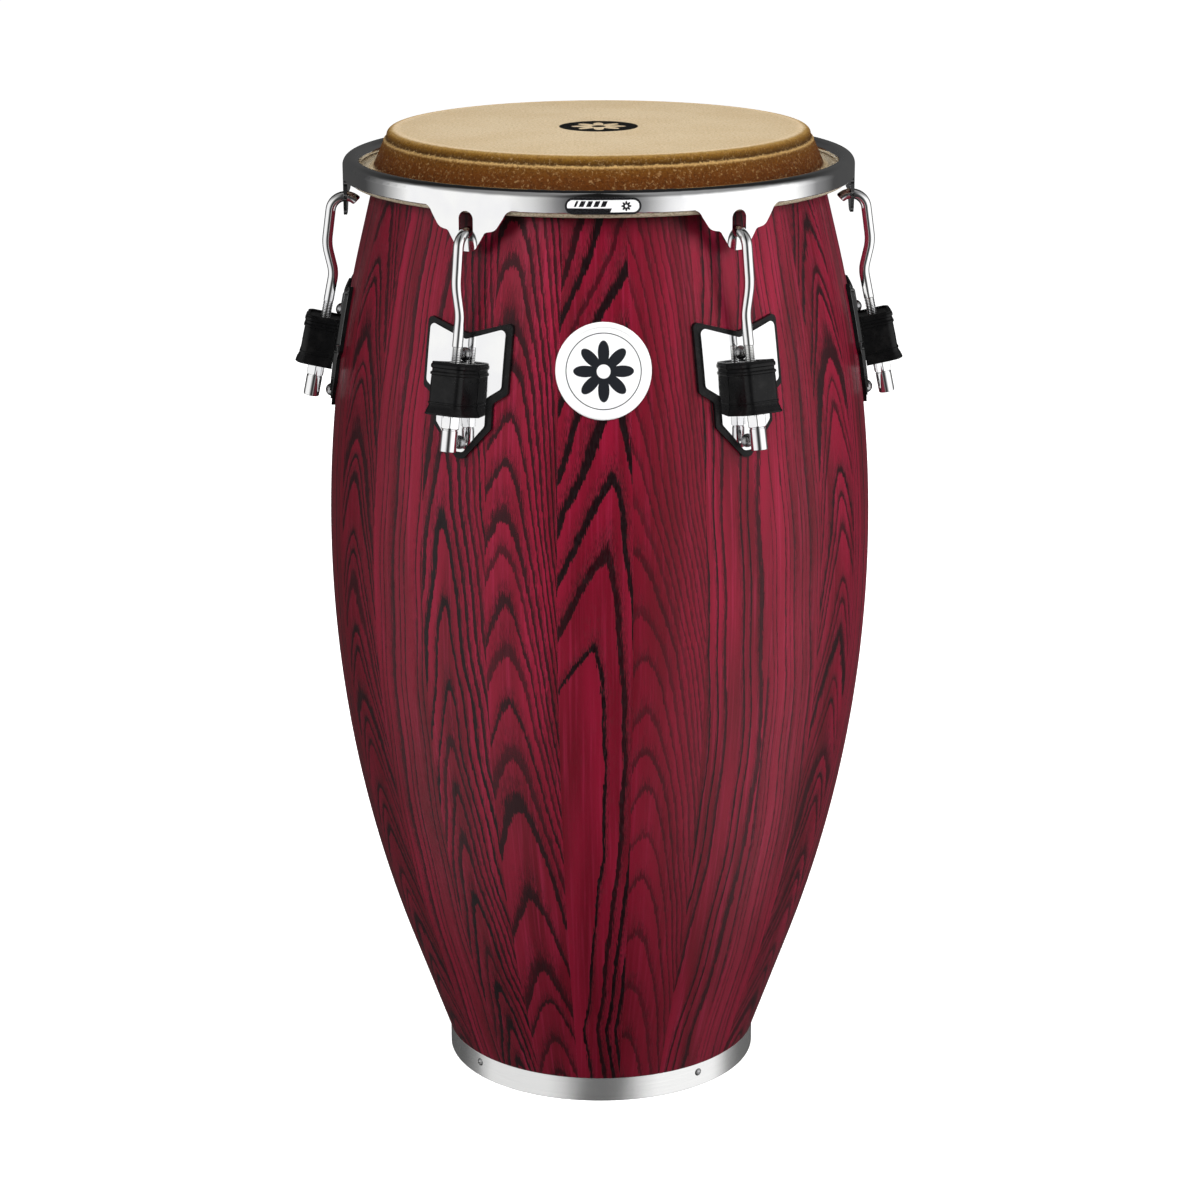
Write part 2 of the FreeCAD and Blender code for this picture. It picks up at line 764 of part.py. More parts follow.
def make_bolt_washers():
    """A washer on each bolt, against the backing plate."""
    far = INSIDE_FACE + " - washer_steel"
    return bolt_group("bolt_washers", [
        (far, "bolt_hole"), (INSIDE_FACE, "bolt_hole"),
        (INSIDE_FACE, "washer_radius"), (far, "washer_radius")])


def make_lock_nuts():
    """Hexagonal lock nuts on the ends of the bolts."""
    body = new_body("lock_nuts", FIRST_STATION)
    pieces = []
    seat = "(%s - washer_steel - gap)" % INSIDE_FACE
    for name in ("upper", "lower"):
        angle = name + "_bolt_angle"
        sketch = new_sketch(body, name, "YZ_Plane")
        turn_sketch(sketch, Vector(1, 0, 0), "-" + angle)
        shift(sketch, y="belly_height + (%s - lock_nut_height) * sin(%s)" % (seat, angle),
              z="%s + (%s - lock_nut_height) * cos(%s)" % (ARC_AXIS, seat, angle))
        add_hexagon(sketch, "lock_nut_flats")
        add_circle(sketch, "bolt_radius + gap")
        pieces.append(pad(body, name + "_piece", sketch, "lock_nut_height"))
    pattern(body, "stations", pieces, STATIONS)
    return [body]


def make_badge():
    """The round plate on the front of the shell, bent to the shell's curve."""
    body = new_body("badge", -90)
    sketch = new_sketch(body, "outline", "YZ_Plane")
    shift(sketch, z=BLANK_NEAR)
    add_circle(sketch, "badge_radius", 0, "badge_height")
    pad(body, "blank", sketch, BLANK_DEPTH)
    cut_layer(body, "gap", "(gap + badge_metal)")
    return [body]


# The lugs.


def u_section(sketch, half, front, wall, corner):
    """A channel open towards the shell, with rounded outer corners."""
    back = LUG_BACK
    outer = [(front, "-(%s) + %s" % (half, corner)), (front, "%s - %s" % (half, corner))]
    outline(sketch, [
        (back, "-(%s)" % half), ("%s - %s" % (front, corner), "-(%s)" % half, corner, "left"),
        outer[0], outer[1] + (corner, "left"),
        ("%s - %s" % (front, corner), half), (back, half),
        (back, "%s - %s" % (half, wall)), ("%s - %s" % (front, wall), "%s - %s" % (half, wall)),
        ("%s - %s" % (front, wall), "-(%s) + %s" % (half, wall)),
        (back, "-(%s) + %s" % (half, wall))])


def cut_to_plate(body, offset):
    """Cuts the back of a lug part to the side plate's curve."""
    sketch = new_sketch(body, "back")
    trim_inside(sketch, offset)
    revolve(body, "back_cut", sketch, "Groove")


def make_lug_bracket(station):
    """A bent steel strap, closed below by the shelf that the tuning nut pulls against."""
    body = new_body("lug_bracket_%d" % station, station_turn(station))
    section = rod_plane(body, "strap", "-bracket_low")
    u_section(section, "bracket_half", "bracket_front", "bracket_steel", "2")
    pad(body, "strap_pad", section, "bracket_low + bracket_high")
    shelf = rod_plane(body, "shelf", "-bracket_low")
    rectangle(shelf, LUG_BACK, "bracket_front - 1", "-bracket_half + 1", "bracket_half - 1")
    add_circle(shelf, "shelf_hole")
    pad(body, "shelf_pad", shelf, "shelf_steel")
    cut_to_plate(body, "(pad_rubber + plate_steel + gap)")
    return body


BOOT_RIBS = [
    # Lower and upper edge of each rib, as heights along the rod, and how far it stands out.
    ("(boot_high - 4.6)", "(boot_high - 1.6)", "boot_rib"),
    ("(boot_high - 9.6)", "(boot_high - 7.2)", "boot_rib"),
    ("(-boot_low + 8.0)", "(-boot_low + 9.4)", "boot_rib * 0.8"),
]


def make_rubber_boot(station):
    """The rubber sleeve over the bracket: ribs near its top and a flared skirt below."""
    body = new_body("rubber_boot_%d" % station, station_turn(station))

    def block(name, low, high, proud):
        """A solid stretch of the sleeve that stands out by a distance."""
        sketch = rod_plane(body, name, low)
        half = "boot_half + " + proud
        front = "boot_front + " + proud
        corner = "boot_corner + " + proud
        outline(sketch, [
            (LUG_BACK, "-(%s)" % half), ("boot_front - boot_corner", "-(%s)" % half, corner, "left"),
            (front, "-boot_half + boot_corner"), (front, "boot_half - boot_corner", corner, "left"),
            ("boot_front - boot_corner", half), (LUG_BACK, half)])
        return pad(body, name + "_pad", sketch, "%s - %s" % (high, low))

    block("sleeve", "-boot_low", "boot_high", "0")
    for number, (low, high, proud) in enumerate(BOOT_RIBS, start=1):
        block("rib_%d" % number, low, high, proud)
    skirt = block("skirt", "(-boot_low + 1.2)", "(-boot_low + 1.2 + boot_skirt)", "boot_flare")
    skirt.TaperAngle = -size("atan(boot_flare / boot_skirt)")
    bind(skirt, "TaperAngle", "-atan(boot_flare / boot_skirt)")
    block("lip", "-boot_low", "(-boot_low + 1.2)", "boot_flare")
    hollow = rod_plane(body, "hollow", "(-boot_low - 1)")
    half = "(boot_half - boot_rubber)"
    rectangle(hollow, LUG_BACK - 1, "boot_front - boot_rubber", "-" + half, half)
    cavity = add_feature(body, "Pocket", "hollow_cut", hollow)
    cavity.Length = size("boot_low + boot_high + 2")
    bind(cavity, "Length", "boot_low + boot_high + 2")
    cavity.Reversed = True
    cut_to_plate(body, "(pad_rubber + plate_steel + boot_gap)")
    return body


def make_lug_washers():
    """A washer between each shelf and its nut."""
    body = new_body("lug_washers", FIRST_STATION)
    sketch = rod_plane(body, "ring", "-(bracket_low + gap + lug_washer_steel)")
    add_circle(sketch, "lug_washer_radius")
    add_circle(sketch, "shelf_hole")
    washer = pad(body, "washer", sketch, "lug_washer_steel")
    pattern(body, "stations", [washer], STATIONS)
    return [body]


def make_tuning_hook(station):
    """A bent rod: a straight threaded leg, an inward bend, a bulge and an open hook."""
    body = new_body("tuning_hook_%d" % station, station_turn(station))
    path = new_sketch(body, "path")
    tilt = math.radians(size("lug_tilt"))
    lean = math.radians(size("bulge_lean"))
    hook_lean = math.radians(size("hook_lean"))
    tip = math.radians(size("hook_tip_angle"))
    up_leg = Vector(-math.sin(tilt), math.cos(tilt), 0)
    up_bulge = Vector(math.sin(lean), math.cos(lean), 0)
    up_hook = Vector(-math.sin(hook_lean), math.cos(hook_lean), 0)
    centre = Vector(size("lug_radius"), size("lug_height"), 0)
    end = centre - up_leg * size("rod_end")
    bend = centre + up_leg * ((size("bend_height") - centre.y) / up_leg.y)

    def turned(start, way, new_way, radius):
        """The arc that leads from one direction to another, and its last point."""
        left = way.cross(new_way).z > 0
        side = Vector(-way.y, way.x, 0) * (radius if left else -radius)
        new_side = Vector(-new_way.y, new_way.x, 0) * (radius if left else -radius)
        return left, start + side - new_side

    left_bend, bend_end = turned(bend, up_leg, up_bulge, size("bend_round"))
    hook = Vector(size("hook_radius"), size("hook_height"), 0)
    radius = size("hook_round")
    hook_start = hook + Vector(math.cos(hook_lean), math.sin(hook_lean), 0) * radius
    hook_end = hook + Vector(math.cos(tip), math.sin(tip), 0) * radius
    left_bulge, bulge_chord = turned(Vector(), up_bulge, up_hook, size("bulge_round"))
    span = hook_start - bend_end - bulge_chord
    cross = up_bulge.cross(up_hook).z
    rise = span.cross(up_hook).z / cross
    bulge = bend_end + up_bulge * rise
    bulge_end = bulge + bulge_chord
    leg = path.addGeometry(Part.LineSegment(end, bend), False)
    bend_arc = add_arc(path, bend, bend_end, size("bend_round"), left_bend)
    middle = path.addGeometry(Part.LineSegment(bend_end, bulge), False)
    bulge_arc = add_arc(path, bulge, bulge_end, size("bulge_round"), left_bulge)
    upper = path.addGeometry(Part.LineSegment(bulge_end, hook_start), False)
    hook_arc = add_arc(path, hook_start, hook_end, radius, True)
    bend_ends = (1, 2) if left_bend else (2, 1)
    bulge_ends = (1, 2) if left_bulge else (2, 1)
    for first, first_end, second, second_end in (
            (leg, 2, bend_arc, bend_ends[0]), (bend_arc, bend_ends[1], middle, 1),
            (middle, 2, bulge_arc, bulge_ends[0]), (bulge_arc, bulge_ends[1], upper, 1),
            (upper, 2, hook_arc, 1)):
        path.addConstraint(
            Sketcher.Constraint("Tangent", first, first_end, second, second_end))
    pin(path, leg, 1, "lug_radius + rod_end * sin(lug_tilt)",
        "lug_height - rod_end * cos(lug_tilt)")
    pin(path, hook_arc, 3, "hook_radius", "hook_height")
    for arc, name in ((bend_arc, "bend_round"), (bulge_arc, "bulge_round"),
                      (hook_arc, "hook_round")):
        round_to(path, arc, name)
    wire = rod_plane(body, "wire", "-rod_end")
    add_circle(wire, "rod_radius")
    pipe = add_feature(body, "AdditivePipe", "rod", wire)
    pipe.Spine = path
    return [body]


def make_tuning_nut(station):
    """A long nut: a hexagon above a round sleeve, bored right through."""
    body = new_body("tuning_nut_%d" % station, station_turn(station), tilted=True)
    flats = new_sketch(body, "flats", "XY_Plane")
    shift(flats, z="-nut_hex_low")
    add_hexagon(flats, "nut_flats")
    add_circle(flats, "rod_radius + rod_fit")
    pad(body, "hexagon", flats, "nut_hex_low - nut_high")
    sleeve = new_sketch(body, "sleeve")
    bore = "rod_radius + rod_fit"
    outline(sleeve, [
        (bore, "-nut_low"), ("nut_sleeve - nut_round", "-nut_low", "nut_round", "left"),
        ("nut_sleeve", "-nut_low + nut_round"), ("nut_sleeve", "-nut_hex_low + 1"),
        (bore, "-nut_hex_low + 1")])
    revolve(body, "sleeve_turned", sleeve)
    return [body]


def build():
    """Every sub-part, in the order that the drum goes together."""
    nodes = make_shell_staves() + make_lining() + make_base_ring() + make_base_ring_screws()
    nodes += make_badge() + make_plate_bolts() + make_bolt_washers() + make_lock_nuts()
    nodes += make_lug_washers() + make_drumhead_skin() + make_flesh_hoop() + make_hoop()
    nodes += make_hoop_label()
    for station in range(1, STATIONS + 1):
        nodes.append(make_gasket(station))
        nodes.append(make_side_plate(station))
        nodes.append(make_backing_plate(station))
        nodes.append(make_lug_bracket(station))
        nodes.append(make_rubber_boot(station))
        nodes += make_tuning_hook(station) + make_tuning_nut(station)
    doc.recompute()
    return nodes


def check(nodes):
    """Stops if anything failed to build."""
    for item in doc.Objects:
        if "Invalid" in item.State or "Error" in item.State:
            raise RuntimeError("%s failed: %s" % (item.Label, item.State))
    for node in nodes:
        if node.Shape.isNull() or not node.Shape.isValid():
            raise RuntimeError("%s has no valid shape" % node.Label)


def write(nodes):
    """One STEP file for each sub-part."""
    os.makedirs("parts", exist_ok=True)
    for node in nodes:
        node.Shape.exportStep("parts/%s.step" % node.Label)


all_nodes = build()
check(all_nodes)
write(all_nodes)
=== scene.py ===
"""The looks of a conga drum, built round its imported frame.

Metres, +Z up, and the front of the drum faces -Y. Azimuths are degrees from the front, positive
to the right. Attributes that materials read hold millimetres.
"""

import bisect
import json
import math
import random

import bmesh
import bpy
import numpy as np
from mathutils import Matrix, Vector


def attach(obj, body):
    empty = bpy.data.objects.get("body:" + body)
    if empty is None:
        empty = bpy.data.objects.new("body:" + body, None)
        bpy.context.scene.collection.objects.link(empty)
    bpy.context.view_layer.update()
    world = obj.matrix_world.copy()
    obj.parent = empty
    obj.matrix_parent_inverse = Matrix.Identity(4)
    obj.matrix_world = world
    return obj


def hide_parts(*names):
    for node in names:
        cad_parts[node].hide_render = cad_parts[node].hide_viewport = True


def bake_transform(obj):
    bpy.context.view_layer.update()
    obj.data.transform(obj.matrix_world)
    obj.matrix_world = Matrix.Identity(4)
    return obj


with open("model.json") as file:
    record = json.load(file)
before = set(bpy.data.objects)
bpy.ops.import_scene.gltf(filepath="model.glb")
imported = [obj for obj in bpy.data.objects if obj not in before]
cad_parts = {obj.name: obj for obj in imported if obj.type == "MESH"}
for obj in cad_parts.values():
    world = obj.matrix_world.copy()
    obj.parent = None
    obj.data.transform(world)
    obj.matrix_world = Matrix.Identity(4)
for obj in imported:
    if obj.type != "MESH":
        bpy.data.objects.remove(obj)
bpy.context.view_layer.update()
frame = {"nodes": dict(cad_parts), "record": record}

TO_MM = 1000.0
SEED = 11

# The shell's outside: two long arcs that run out into cones.
BELLY_RADIUS = 0.214
BELLY_HEIGHT = 0.440
LOW_ARC = 1.000
LOW_ANGLE = math.radians(19.54)
TOP_ARC = 0.985
TOP_ANGLE = math.radians(13.8)
WALL = 0.011
STAVES = 24
MIDDLE_STAVE = -1.85
FOOT_RADIUS = 0.1237
FOOT_LOW = 0.0006
FOOT_STEP = 0.0203

# The bearing edge that the hide bends over, and the hide.
EDGE_RADIUS = 0.1584
EDGE_HEIGHT = 0.75685
EDGE_ROUND = 0.00275
BEARING_ANGLE = math.radians(23.5)
BEARING_LOW = 0.7354
HIDE = 0.0022
HIDE_GAP = 0.0002
FLESH_RADIUS = 0.1885
FLESH_HEIGHT = 0.728
WRAP_RADIUS = 0.0063
WRAP_HIDE = 0.0016

# The lugs, whose stations are counted round from +X: each rod leans out from the shell on its
# way down, past its side plate's face.
STATIONS = 6
FIRST_STATION = -120
LUG_RADIUS = 0.2188
LUG_HEIGHT = 0.593
LUG_TILT = math.radians(11.9)
STEP = 360 / STATIONS
ROD_RADIUS = 0.004
PLATE_FACE = 0.0052

# Where the label and the badge stand, and half a straight edge of the label in millimetres.
HOOP_RADIUS = 0.1976
LABEL_HEIGHT = 0.7316
LABEL_FLAT = 21.5
BADGE_HEIGHT = 0.612


def shell_radius(height):
    """The shell's outer radius at a height."""
    arc, angle = (TOP_ARC, TOP_ANGLE) if height > BELLY_HEIGHT else (LOW_ARC, LOW_ANGLE)
    rise = abs(height - BELLY_HEIGHT)
    tangent = arc * math.sin(angle)
    if rise < tangent:
        return BELLY_RADIUS - arc + math.sqrt(arc ** 2 - rise ** 2)
    return BELLY_RADIUS - arc * (1 - math.cos(angle)) - (rise - tangent) * math.tan(angle)


def layer_radius(height, offset):
    """The radius of a surface that lies an offset outside the shell's upper arc."""
    return BELLY_RADIUS - TOP_ARC + math.sqrt((TOP_ARC + offset) ** 2 - (height - BELLY_HEIGHT) ** 2)


def around(radius, azimuth, height):
    """A point at an azimuth in degrees from the front."""
    turn = math.radians(azimuth)
    return Vector((radius * math.sin(turn), -radius * math.cos(turn), height))


def lug_section(outward, along):
    """Radius and height of a point by its place off a rod's axis and up along it."""
    return (LUG_RADIUS + outward * math.cos(LUG_TILT) - along * math.sin(LUG_TILT),
            LUG_HEIGHT + outward * math.sin(LUG_TILT) + along * math.cos(LUG_TILT))


def at_station(station, radius, aside, height):
    """A point of a station's own upright plane, or beside it, in its place round the drum."""
    turn = math.radians(FIRST_STATION + STEP * (station - 1))
    return Vector((radius * math.cos(turn) - aside * math.sin(turn),
                   radius * math.sin(turn) + aside * math.cos(turn), height))


# Meshes.


def placed(name, data):
    """A new object in the scene."""
    thing = bpy.data.objects.new(name, data)
    bpy.context.scene.collection.objects.link(thing)
    return thing


def new_piece(name, points, faces, body, slot, replaced, smooth=35):
    """A piece that rides on a CAD body, unless it has none, and stands for a CAD node."""
    mesh = bpy.data.meshes.new(name)
    mesh.from_pydata([tuple(point) for point in points], [], faces)
    mesh.validate()
    mesh.shade_smooth()
    mesh.set_sharp_from_angle(angle=math.radians(smooth))
    mesh.materials.append(MATERIALS[slot])
    piece = placed(name, mesh)
    if body:
        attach(piece, body)
    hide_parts(replaced)
    return piece


def add_attribute(piece, name, vectors):
    """A vector at each vertex for the material to read."""
    layer = piece.data.attributes.new(name, "FLOAT_VECTOR", "POINT")
    layer.data.foreach_set("vector", np.array(vectors, np.float32).ravel())


def grid_faces(rows, columns, wrap_rows=False, wrap_columns=False, flip=False):
    """Quads between the rows of a grid of points."""
    faces = []
    for row in range(rows if wrap_rows else rows - 1):
        for column in range(columns if wrap_columns else columns - 1):
            after = (row + 1) % rows
            beside = (column + 1) % columns
            face = (row * columns + column, row * columns + beside,
                    after * columns + beside, after * columns + column)
            faces.append(face[::-1] if flip else face)
    return faces


def shifted(faces, first):
    """The same faces for points that start further down the list."""
    return [tuple(corner + first for corner in face) for face in faces]


def turned_faces(rings, sides):
    """Faces for a point, rings of points round the same middle, and a last point."""
    faces = shifted(grid_faces(rings, sides, wrap_columns=True, flip=True), 1)
    last = 1 + rings * sides
    low = last - sides
    for side in range(sides):
        beside = (side + 1) % sides
        faces.append((0, 1 + side, 1 + beside))
        faces.append((last, low + beside, low + side))
    return faces


def arc_points(centre, radius, start, end, steps):
    """Points on an arc in a plane, angles in degrees."""
    turns = [math.radians(start + (end - start) * step / steps) for step in range(steps + 1)]
    return [(centre[0] + radius * math.cos(turn), centre[1] + radius * math.sin(turn))
            for turn in turns]


# Materials.


class Nodes:
    """A node tree that is written as sums and products of its sockets."""

    def __init__(self, tree):
        self.tree = tree

    def node(self, kind, inputs=(), output=0, **settings):
        """Adds a node, sets it up and gives one of its outputs."""
        node = self.tree.nodes.new(kind)
        for name, value in settings.items():
            setattr(node, name, value)
        for key, value in (inputs.items() if isinstance(inputs, dict) else enumerate(inputs)):
            self.put(node.inputs[key], value)
        return node.outputs[output]

    def put(self, socket, value):
        """Links a socket, or sets its value."""
        if isinstance(value, bpy.types.NodeSocket):
            self.tree.links.new(value, socket)
        else:
            socket.default_value = value

    def math(self, operation, *inputs):
        return self.node("ShaderNodeMath", inputs, operation=operation)

    def plus(self, first, second):
        return self.math("ADD", first, second)

    def minus(self, first, second):
        return self.math("SUBTRACT", first, second)

    def times(self, first, second):
        return self.math("MULTIPLY", first, second)

    def over(self, first, second):
        return self.math("DIVIDE", first, second)

    def scaled(self, vector, factors):
        """A vector with each of its parts multiplied."""
        return self.node("ShaderNodeVectorMath", (vector, factors), operation="MULTIPLY")

    def attribute(self, name):
        """A vector that the mesh holds at each vertex."""
        return self.node("ShaderNodeAttribute", output="Vector", attribute_name=name)

    def place(self):
        """Where a point is on its own object, in millimetres."""
        return self.scaled(self.node("ShaderNodeTexCoord", output="Object"), (TO_MM,) * 3)

    def split(self, vector):
        """The three parts of a vector."""
        node = self.tree.nodes.new("ShaderNodeSeparateXYZ")
        self.put(node.inputs[0], vector)
        return tuple(node.outputs)

    def length(self, across, up):
        """The distance of a place from the middle."""
        return self.math("SQRT", self.plus(self.times(across, across), self.times(up, up)))

    def noise(self, vector, scale=1.0, detail=2.0, rough=0.5):
        """Noise from 0 to 1."""
        return self.node("ShaderNodeTexNoise",
                         {"Vector": vector, "Scale": scale, "Detail": detail, "Roughness": rough})

    def ramp(self, value, low, high, start=0.0, end=1.0, smooth=True):
        """Start below low, end above high, and a slope in between."""
        return self.node("ShaderNodeMapRange", (value, low, high, start, end),
                         interpolation_type="SMOOTHSTEP" if smooth else "LINEAR")

    def mix(self, share, first, second, blend="MIX"):
        """A colour between two, or their product."""
        return self.node("ShaderNodeMix", {0: share, 6: first, 7: second}, output=2,
                         data_type="RGBA", blend_type=blend)

    def stops(self, value, stops):
        """A colour from a list of (position, colour)."""
        node = self.tree.nodes.new("ShaderNodeValToRGB")
        self.put(node.inputs[0], value)
        ramp = node.color_ramp
        while len(ramp.elements) < len(stops):
            ramp.elements.new(1.0)
        for element, (position, colour) in zip(ramp.elements, stops):
            element.position = position
            element.color = colour
        return node.outputs[0]

    def lit_by_ray(self, seen, unseen, output):
        """One surface for what the camera sees, and another for every other ray."""
        camera = self.node("ShaderNodeLightPath", output="Is Camera Ray")
        both = self.node("ShaderNodeMixShader", (camera, unseen, seen))
        self.put(self.tree.nodes[output].inputs["Surface"], both)


class Shader(Nodes):
    """The nodes of a new material."""

    def __init__(self, name):
        self.material = bpy.data.materials.new(name)
        self.material.use_nodes = True
        super().__init__(self.material.node_tree)
        self.surface = self.tree.nodes["Principled BSDF"]

    def bump(self, height, distance, strength):
        """A normal for the surface."""
        normal = self.node("ShaderNodeBump",
                           {"Strength": strength, "Distance": distance, "Height": height})
        self.put(self.surface.inputs["Normal"], normal)

    def finish(self, **values):
        """Sets the surface's own sockets by name."""
        for name, value in values.items():
            self.put(self.surface.inputs[name.replace("_", " ")], value)
        return self.material


def rgb(red, green, blue):
    """A colour that nothing shows through."""
    return (red, green, blue, 1.0)


def grey(level):
    """An even grey."""
    return rgb(level, level, level)


CRIMSON = rgb(0.215, 0.0052, 0.0240)
MAROON = rgb(0.105, 0.0024, 0.0095)
PINK = rgb(0.320, 0.0160, 0.0560)
GRAIN_DARK = rgb(0.0060, 0.0010, 0.0018)
BARE_WOOD = rgb(0.430, 0.270, 0.130)
BARE_GRAIN = rgb(0.20, 0.10, 0.04)
# The most of a ring that its dark line takes up.
WIDEST_LINE = 0.46
# The most of a ring that its ragged edge reaches over.
MOST_RAGGED = 0.30


def wood_material():
    """Flat-sawn ash, stained crimson, with near-black grain under a satin lacquer."""
    s = Shader("stained_ash")
    place = s.attribute("grain")
    dark, maroon, inside = s.split(s.attribute("tone"))

    def stretched(across, along, detail=2.0):
        """Noise with grains of this size in millimetres."""
        return s.noise(s.scaled(place, (1 / across, 1 / along, 1.0)), detail=detail)

    def centred(noise, reach):
        """Noise about zero."""
        return s.times(s.minus(noise, 0.5), reach)

    # The rings wander, and the edges of their lines are ragged.
    rings, reach, _ = s.split(s.attribute("rings"))
    streak = stretched(0.75, 16.0, 3.0)
    wander = s.plus(centred(stretched(30.0, 110.0), 2.0), centred(stretched(5.0, 22.0), 0.9))
    ragged = s.plus(centred(stretched(1.6, 9.0), 0.45), centred(stretched(0.80, 9.0, 3.0), 1.5))
    rings = s.math("MULTIPLY_ADD", wander, reach, rings)
    rings = s.math("MULTIPLY_ADD", ragged, s.math("MINIMUM", reach, MOST_RAGGED), rings)
    part = s.math("FRACT", rings)
    number = s.math("FLOOR", rings)
    # Each ring starts with a dark line, as wide and as deep as chance has it, and a haze after it.
    ring = s.node("ShaderNodeCombineXYZ", (number, s.split(place)[2], 0.0))
    chance = s.split(s.node("ShaderNodeTexWhiteNoise", {"Vector": ring}, output=1,
                            noise_dimensions="3D"))
    width = s.times(s.ramp(chance[0], 0.0, 1.0, 0.95, 2.50, smooth=False),
                    s.ramp(dark, 0.80, 1.0, 0.60, 1.0, smooth=False))
    width = s.math("MINIMUM", width, s.over(WIDEST_LINE, reach))
    depth = s.ramp(chance[1], 0.0, 0.45, 0.72, 1.0, smooth=False)
    share = s.plus(s.over(part, s.times(reach, width)), centred(streak, 1.1))
    body = s.ramp(share, 0.80, 1.05, 1.0, 0.0)
    strokes = s.ramp(stretched(0.28, 5.0, 1.0), 0.42, 0.58)
    haze = s.times(strokes, s.ramp(share, 0.8, 2.6, 0.80, 0.0))
    crisp = s.ramp(s.over(part, reach), 0.0, 0.10)
    line = s.times(s.times(s.math("MAXIMUM", body, haze), crisp), s.times(depth, dark))
    # Fine pores, most of them just past a line.
    pores = s.ramp(stretched(0.30, 8.0, 1.0), 0.56, 0.68)
    pore_share = s.times(pores, s.ramp(part, 0.0, 0.75, 0.85, 0.25, smooth=False))
    # The stain with the grain in it, and bare wood on the inside of the shell.
    base = s.mix(s.ramp(stretched(26.0, 200.0, 1.0), 0.32, 0.68), MAROON, CRIMSON)
    base = s.mix(s.ramp(stretched(2.2, 90.0), 0.45, 0.80, 0.0, 0.50), base, PINK)
    base = s.mix(maroon, base, MAROON)
    base = s.mix(s.times(pore_share, 0.50), base, GRAIN_DARK)
    base = s.mix(line, base, GRAIN_DARK)
    bare = s.mix(s.times(line, 0.55), BARE_WOOD, BARE_GRAIN)
    base = s.mix(inside, base, bare)
    height = s.plus(s.times(line, -0.5), s.times(pore_share, -0.9))
    s.bump(height, 0.00020, 0.50)
    rough = s.ramp(s.plus(pore_share, stretched(9.0, 60.0)), 0.2, 1.4, 0.28, 0.40, smooth=False)
    return s.finish(Base_Color=base, Roughness=rough, Specular_IOR_Level=0.24)


def chrome_material():
    """Bright plated steel with faint smears and hairline scratches."""
    s = Shader("chrome")
    place = s.place()
    smear = s.noise(place, 0.05)
    scratch = s.noise(s.scaled(place, (0.5, 0.5, 5.0)), 1.0, 3.0)
    rough = s.ramp(s.plus(smear, s.times(scratch, 0.25)), 0.4, 0.9, 0.04, 0.10)
    tint = s.mix(s.ramp(smear, 0.35, 0.75), rgb(0.90, 0.90, 0.91), rgb(0.95, 0.95, 0.94))
    s.bump(scratch, 0.00001, 0.15)
    return s.finish(Base_Color=tint, Roughness=rough, Metallic=1.0)


def satin_material():
    """The brushed steel of the foot ring, its hairlines running round it."""
    s = Shader("satin_steel")
    hairs = s.noise(s.scaled(s.place(), (0.02, 0.02, 5.0)), 1.0, 4.0, 0.6)
    tint = s.mix(s.ramp(hairs, 0.25, 0.75), grey(0.70), rgb(0.80, 0.80, 0.79))
    s.bump(hairs, 0.00001, 0.25)
    return s.finish(Base_Color=tint, Roughness=s.ramp(hairs, 0.2, 0.8, 0.14, 0.22), Metallic=0.85)


def zinc_material():
    """Duller plated steel for the screws, bolts and brackets."""
    s = Shader("zinc_steel")
    place = s.place()
    cloud = s.noise(place, 0.5, 4.0)
    tint = s.mix(s.ramp(cloud, 0.3, 0.7), rgb(0.34, 0.34, 0.33), rgb(0.52, 0.52, 0.54))
    rough = s.ramp(cloud, 0.3, 0.75, 0.22, 0.38)
    s.bump(s.noise(place, 3.0), 0.00003, 0.4)
    return s.finish(Base_Color=tint, Roughness=rough, Metallic=1.0)


def rubber_material():
    """Black moulded rubber with a little dust on it."""
    s = Shader("black_rubber")
    place = s.place()
    grain = s.noise(place, 2.2, 3.0)
    dust = s.ramp(s.noise(place, 0.12, 4.0), 0.45, 0.8)
    tint = s.mix(dust, rgb(0.0030, 0.0030, 0.0032), rgb(0.0075, 0.0072, 0.0072))
    rough = s.ramp(s.noise(place, 0.35, 3.0), 0.3, 0.7, 0.26, 0.40)
    s.bump(grain, 0.00004, 0.5)
    return s.finish(Base_Color=tint, Roughness=rough, Specular_IOR_Level=0.20)


def petals(s, across, up, inner, reach, grow):
    """Where an eight-petalled rosette covers a place, from 0 to 1, and how far out the place is."""
    distance = s.length(across, up)
    turn = s.times(s.math("ARCTAN2", up, across), 4.0)
    tip = s.math("MULTIPLY_ADD", s.math("ABSOLUTE", s.math("COSINE", turn)), grow, reach)
    inside = s.ramp(s.minus(tip, distance), -0.15, 0.15)
    return s.times(inside, s.ramp(distance, inner - 0.15, inner + 0.15)), distance


# The hide's colours at distances along its section from the middle of the head, in millimetres.
# The pale stop just inside the rim is a painted highlight where the hide bends over the edge. The
# near-black stop in the groove, and the darkening down to it, are painted shade over the hide's
# brown. The light stop on the raised fibre line is a painted highlight. The rest is the hide's own
# colour: pale on top, golden and brown down its side, cream at its raw edge.
HIDE_RUN = 230.0
HIDE_TONES_AND_PAINTED_LIGHT = (
    (100.0, rgb(0.585, 0.472, 0.312)), (151.0, rgb(0.558, 0.441, 0.282)),
    (156.5, rgb(0.660, 0.525, 0.345)), (160.0, rgb(0.330, 0.200, 0.055)),
    (163.2, rgb(0.150, 0.070, 0.008)), (167.8, rgb(0.030, 0.010, 0.001)),
    (169.4, rgb(0.480, 0.310, 0.120)), (171.2, rgb(0.110, 0.042, 0.004)),
    (178.0, rgb(0.088, 0.026, 0.002)), (190.0, rgb(0.052, 0.013, 0.001)),
    (193.0, rgb(0.600, 0.480, 0.300)), (199.0, rgb(0.760, 0.680, 0.520)))
PRINT_RADIUS = 30.2


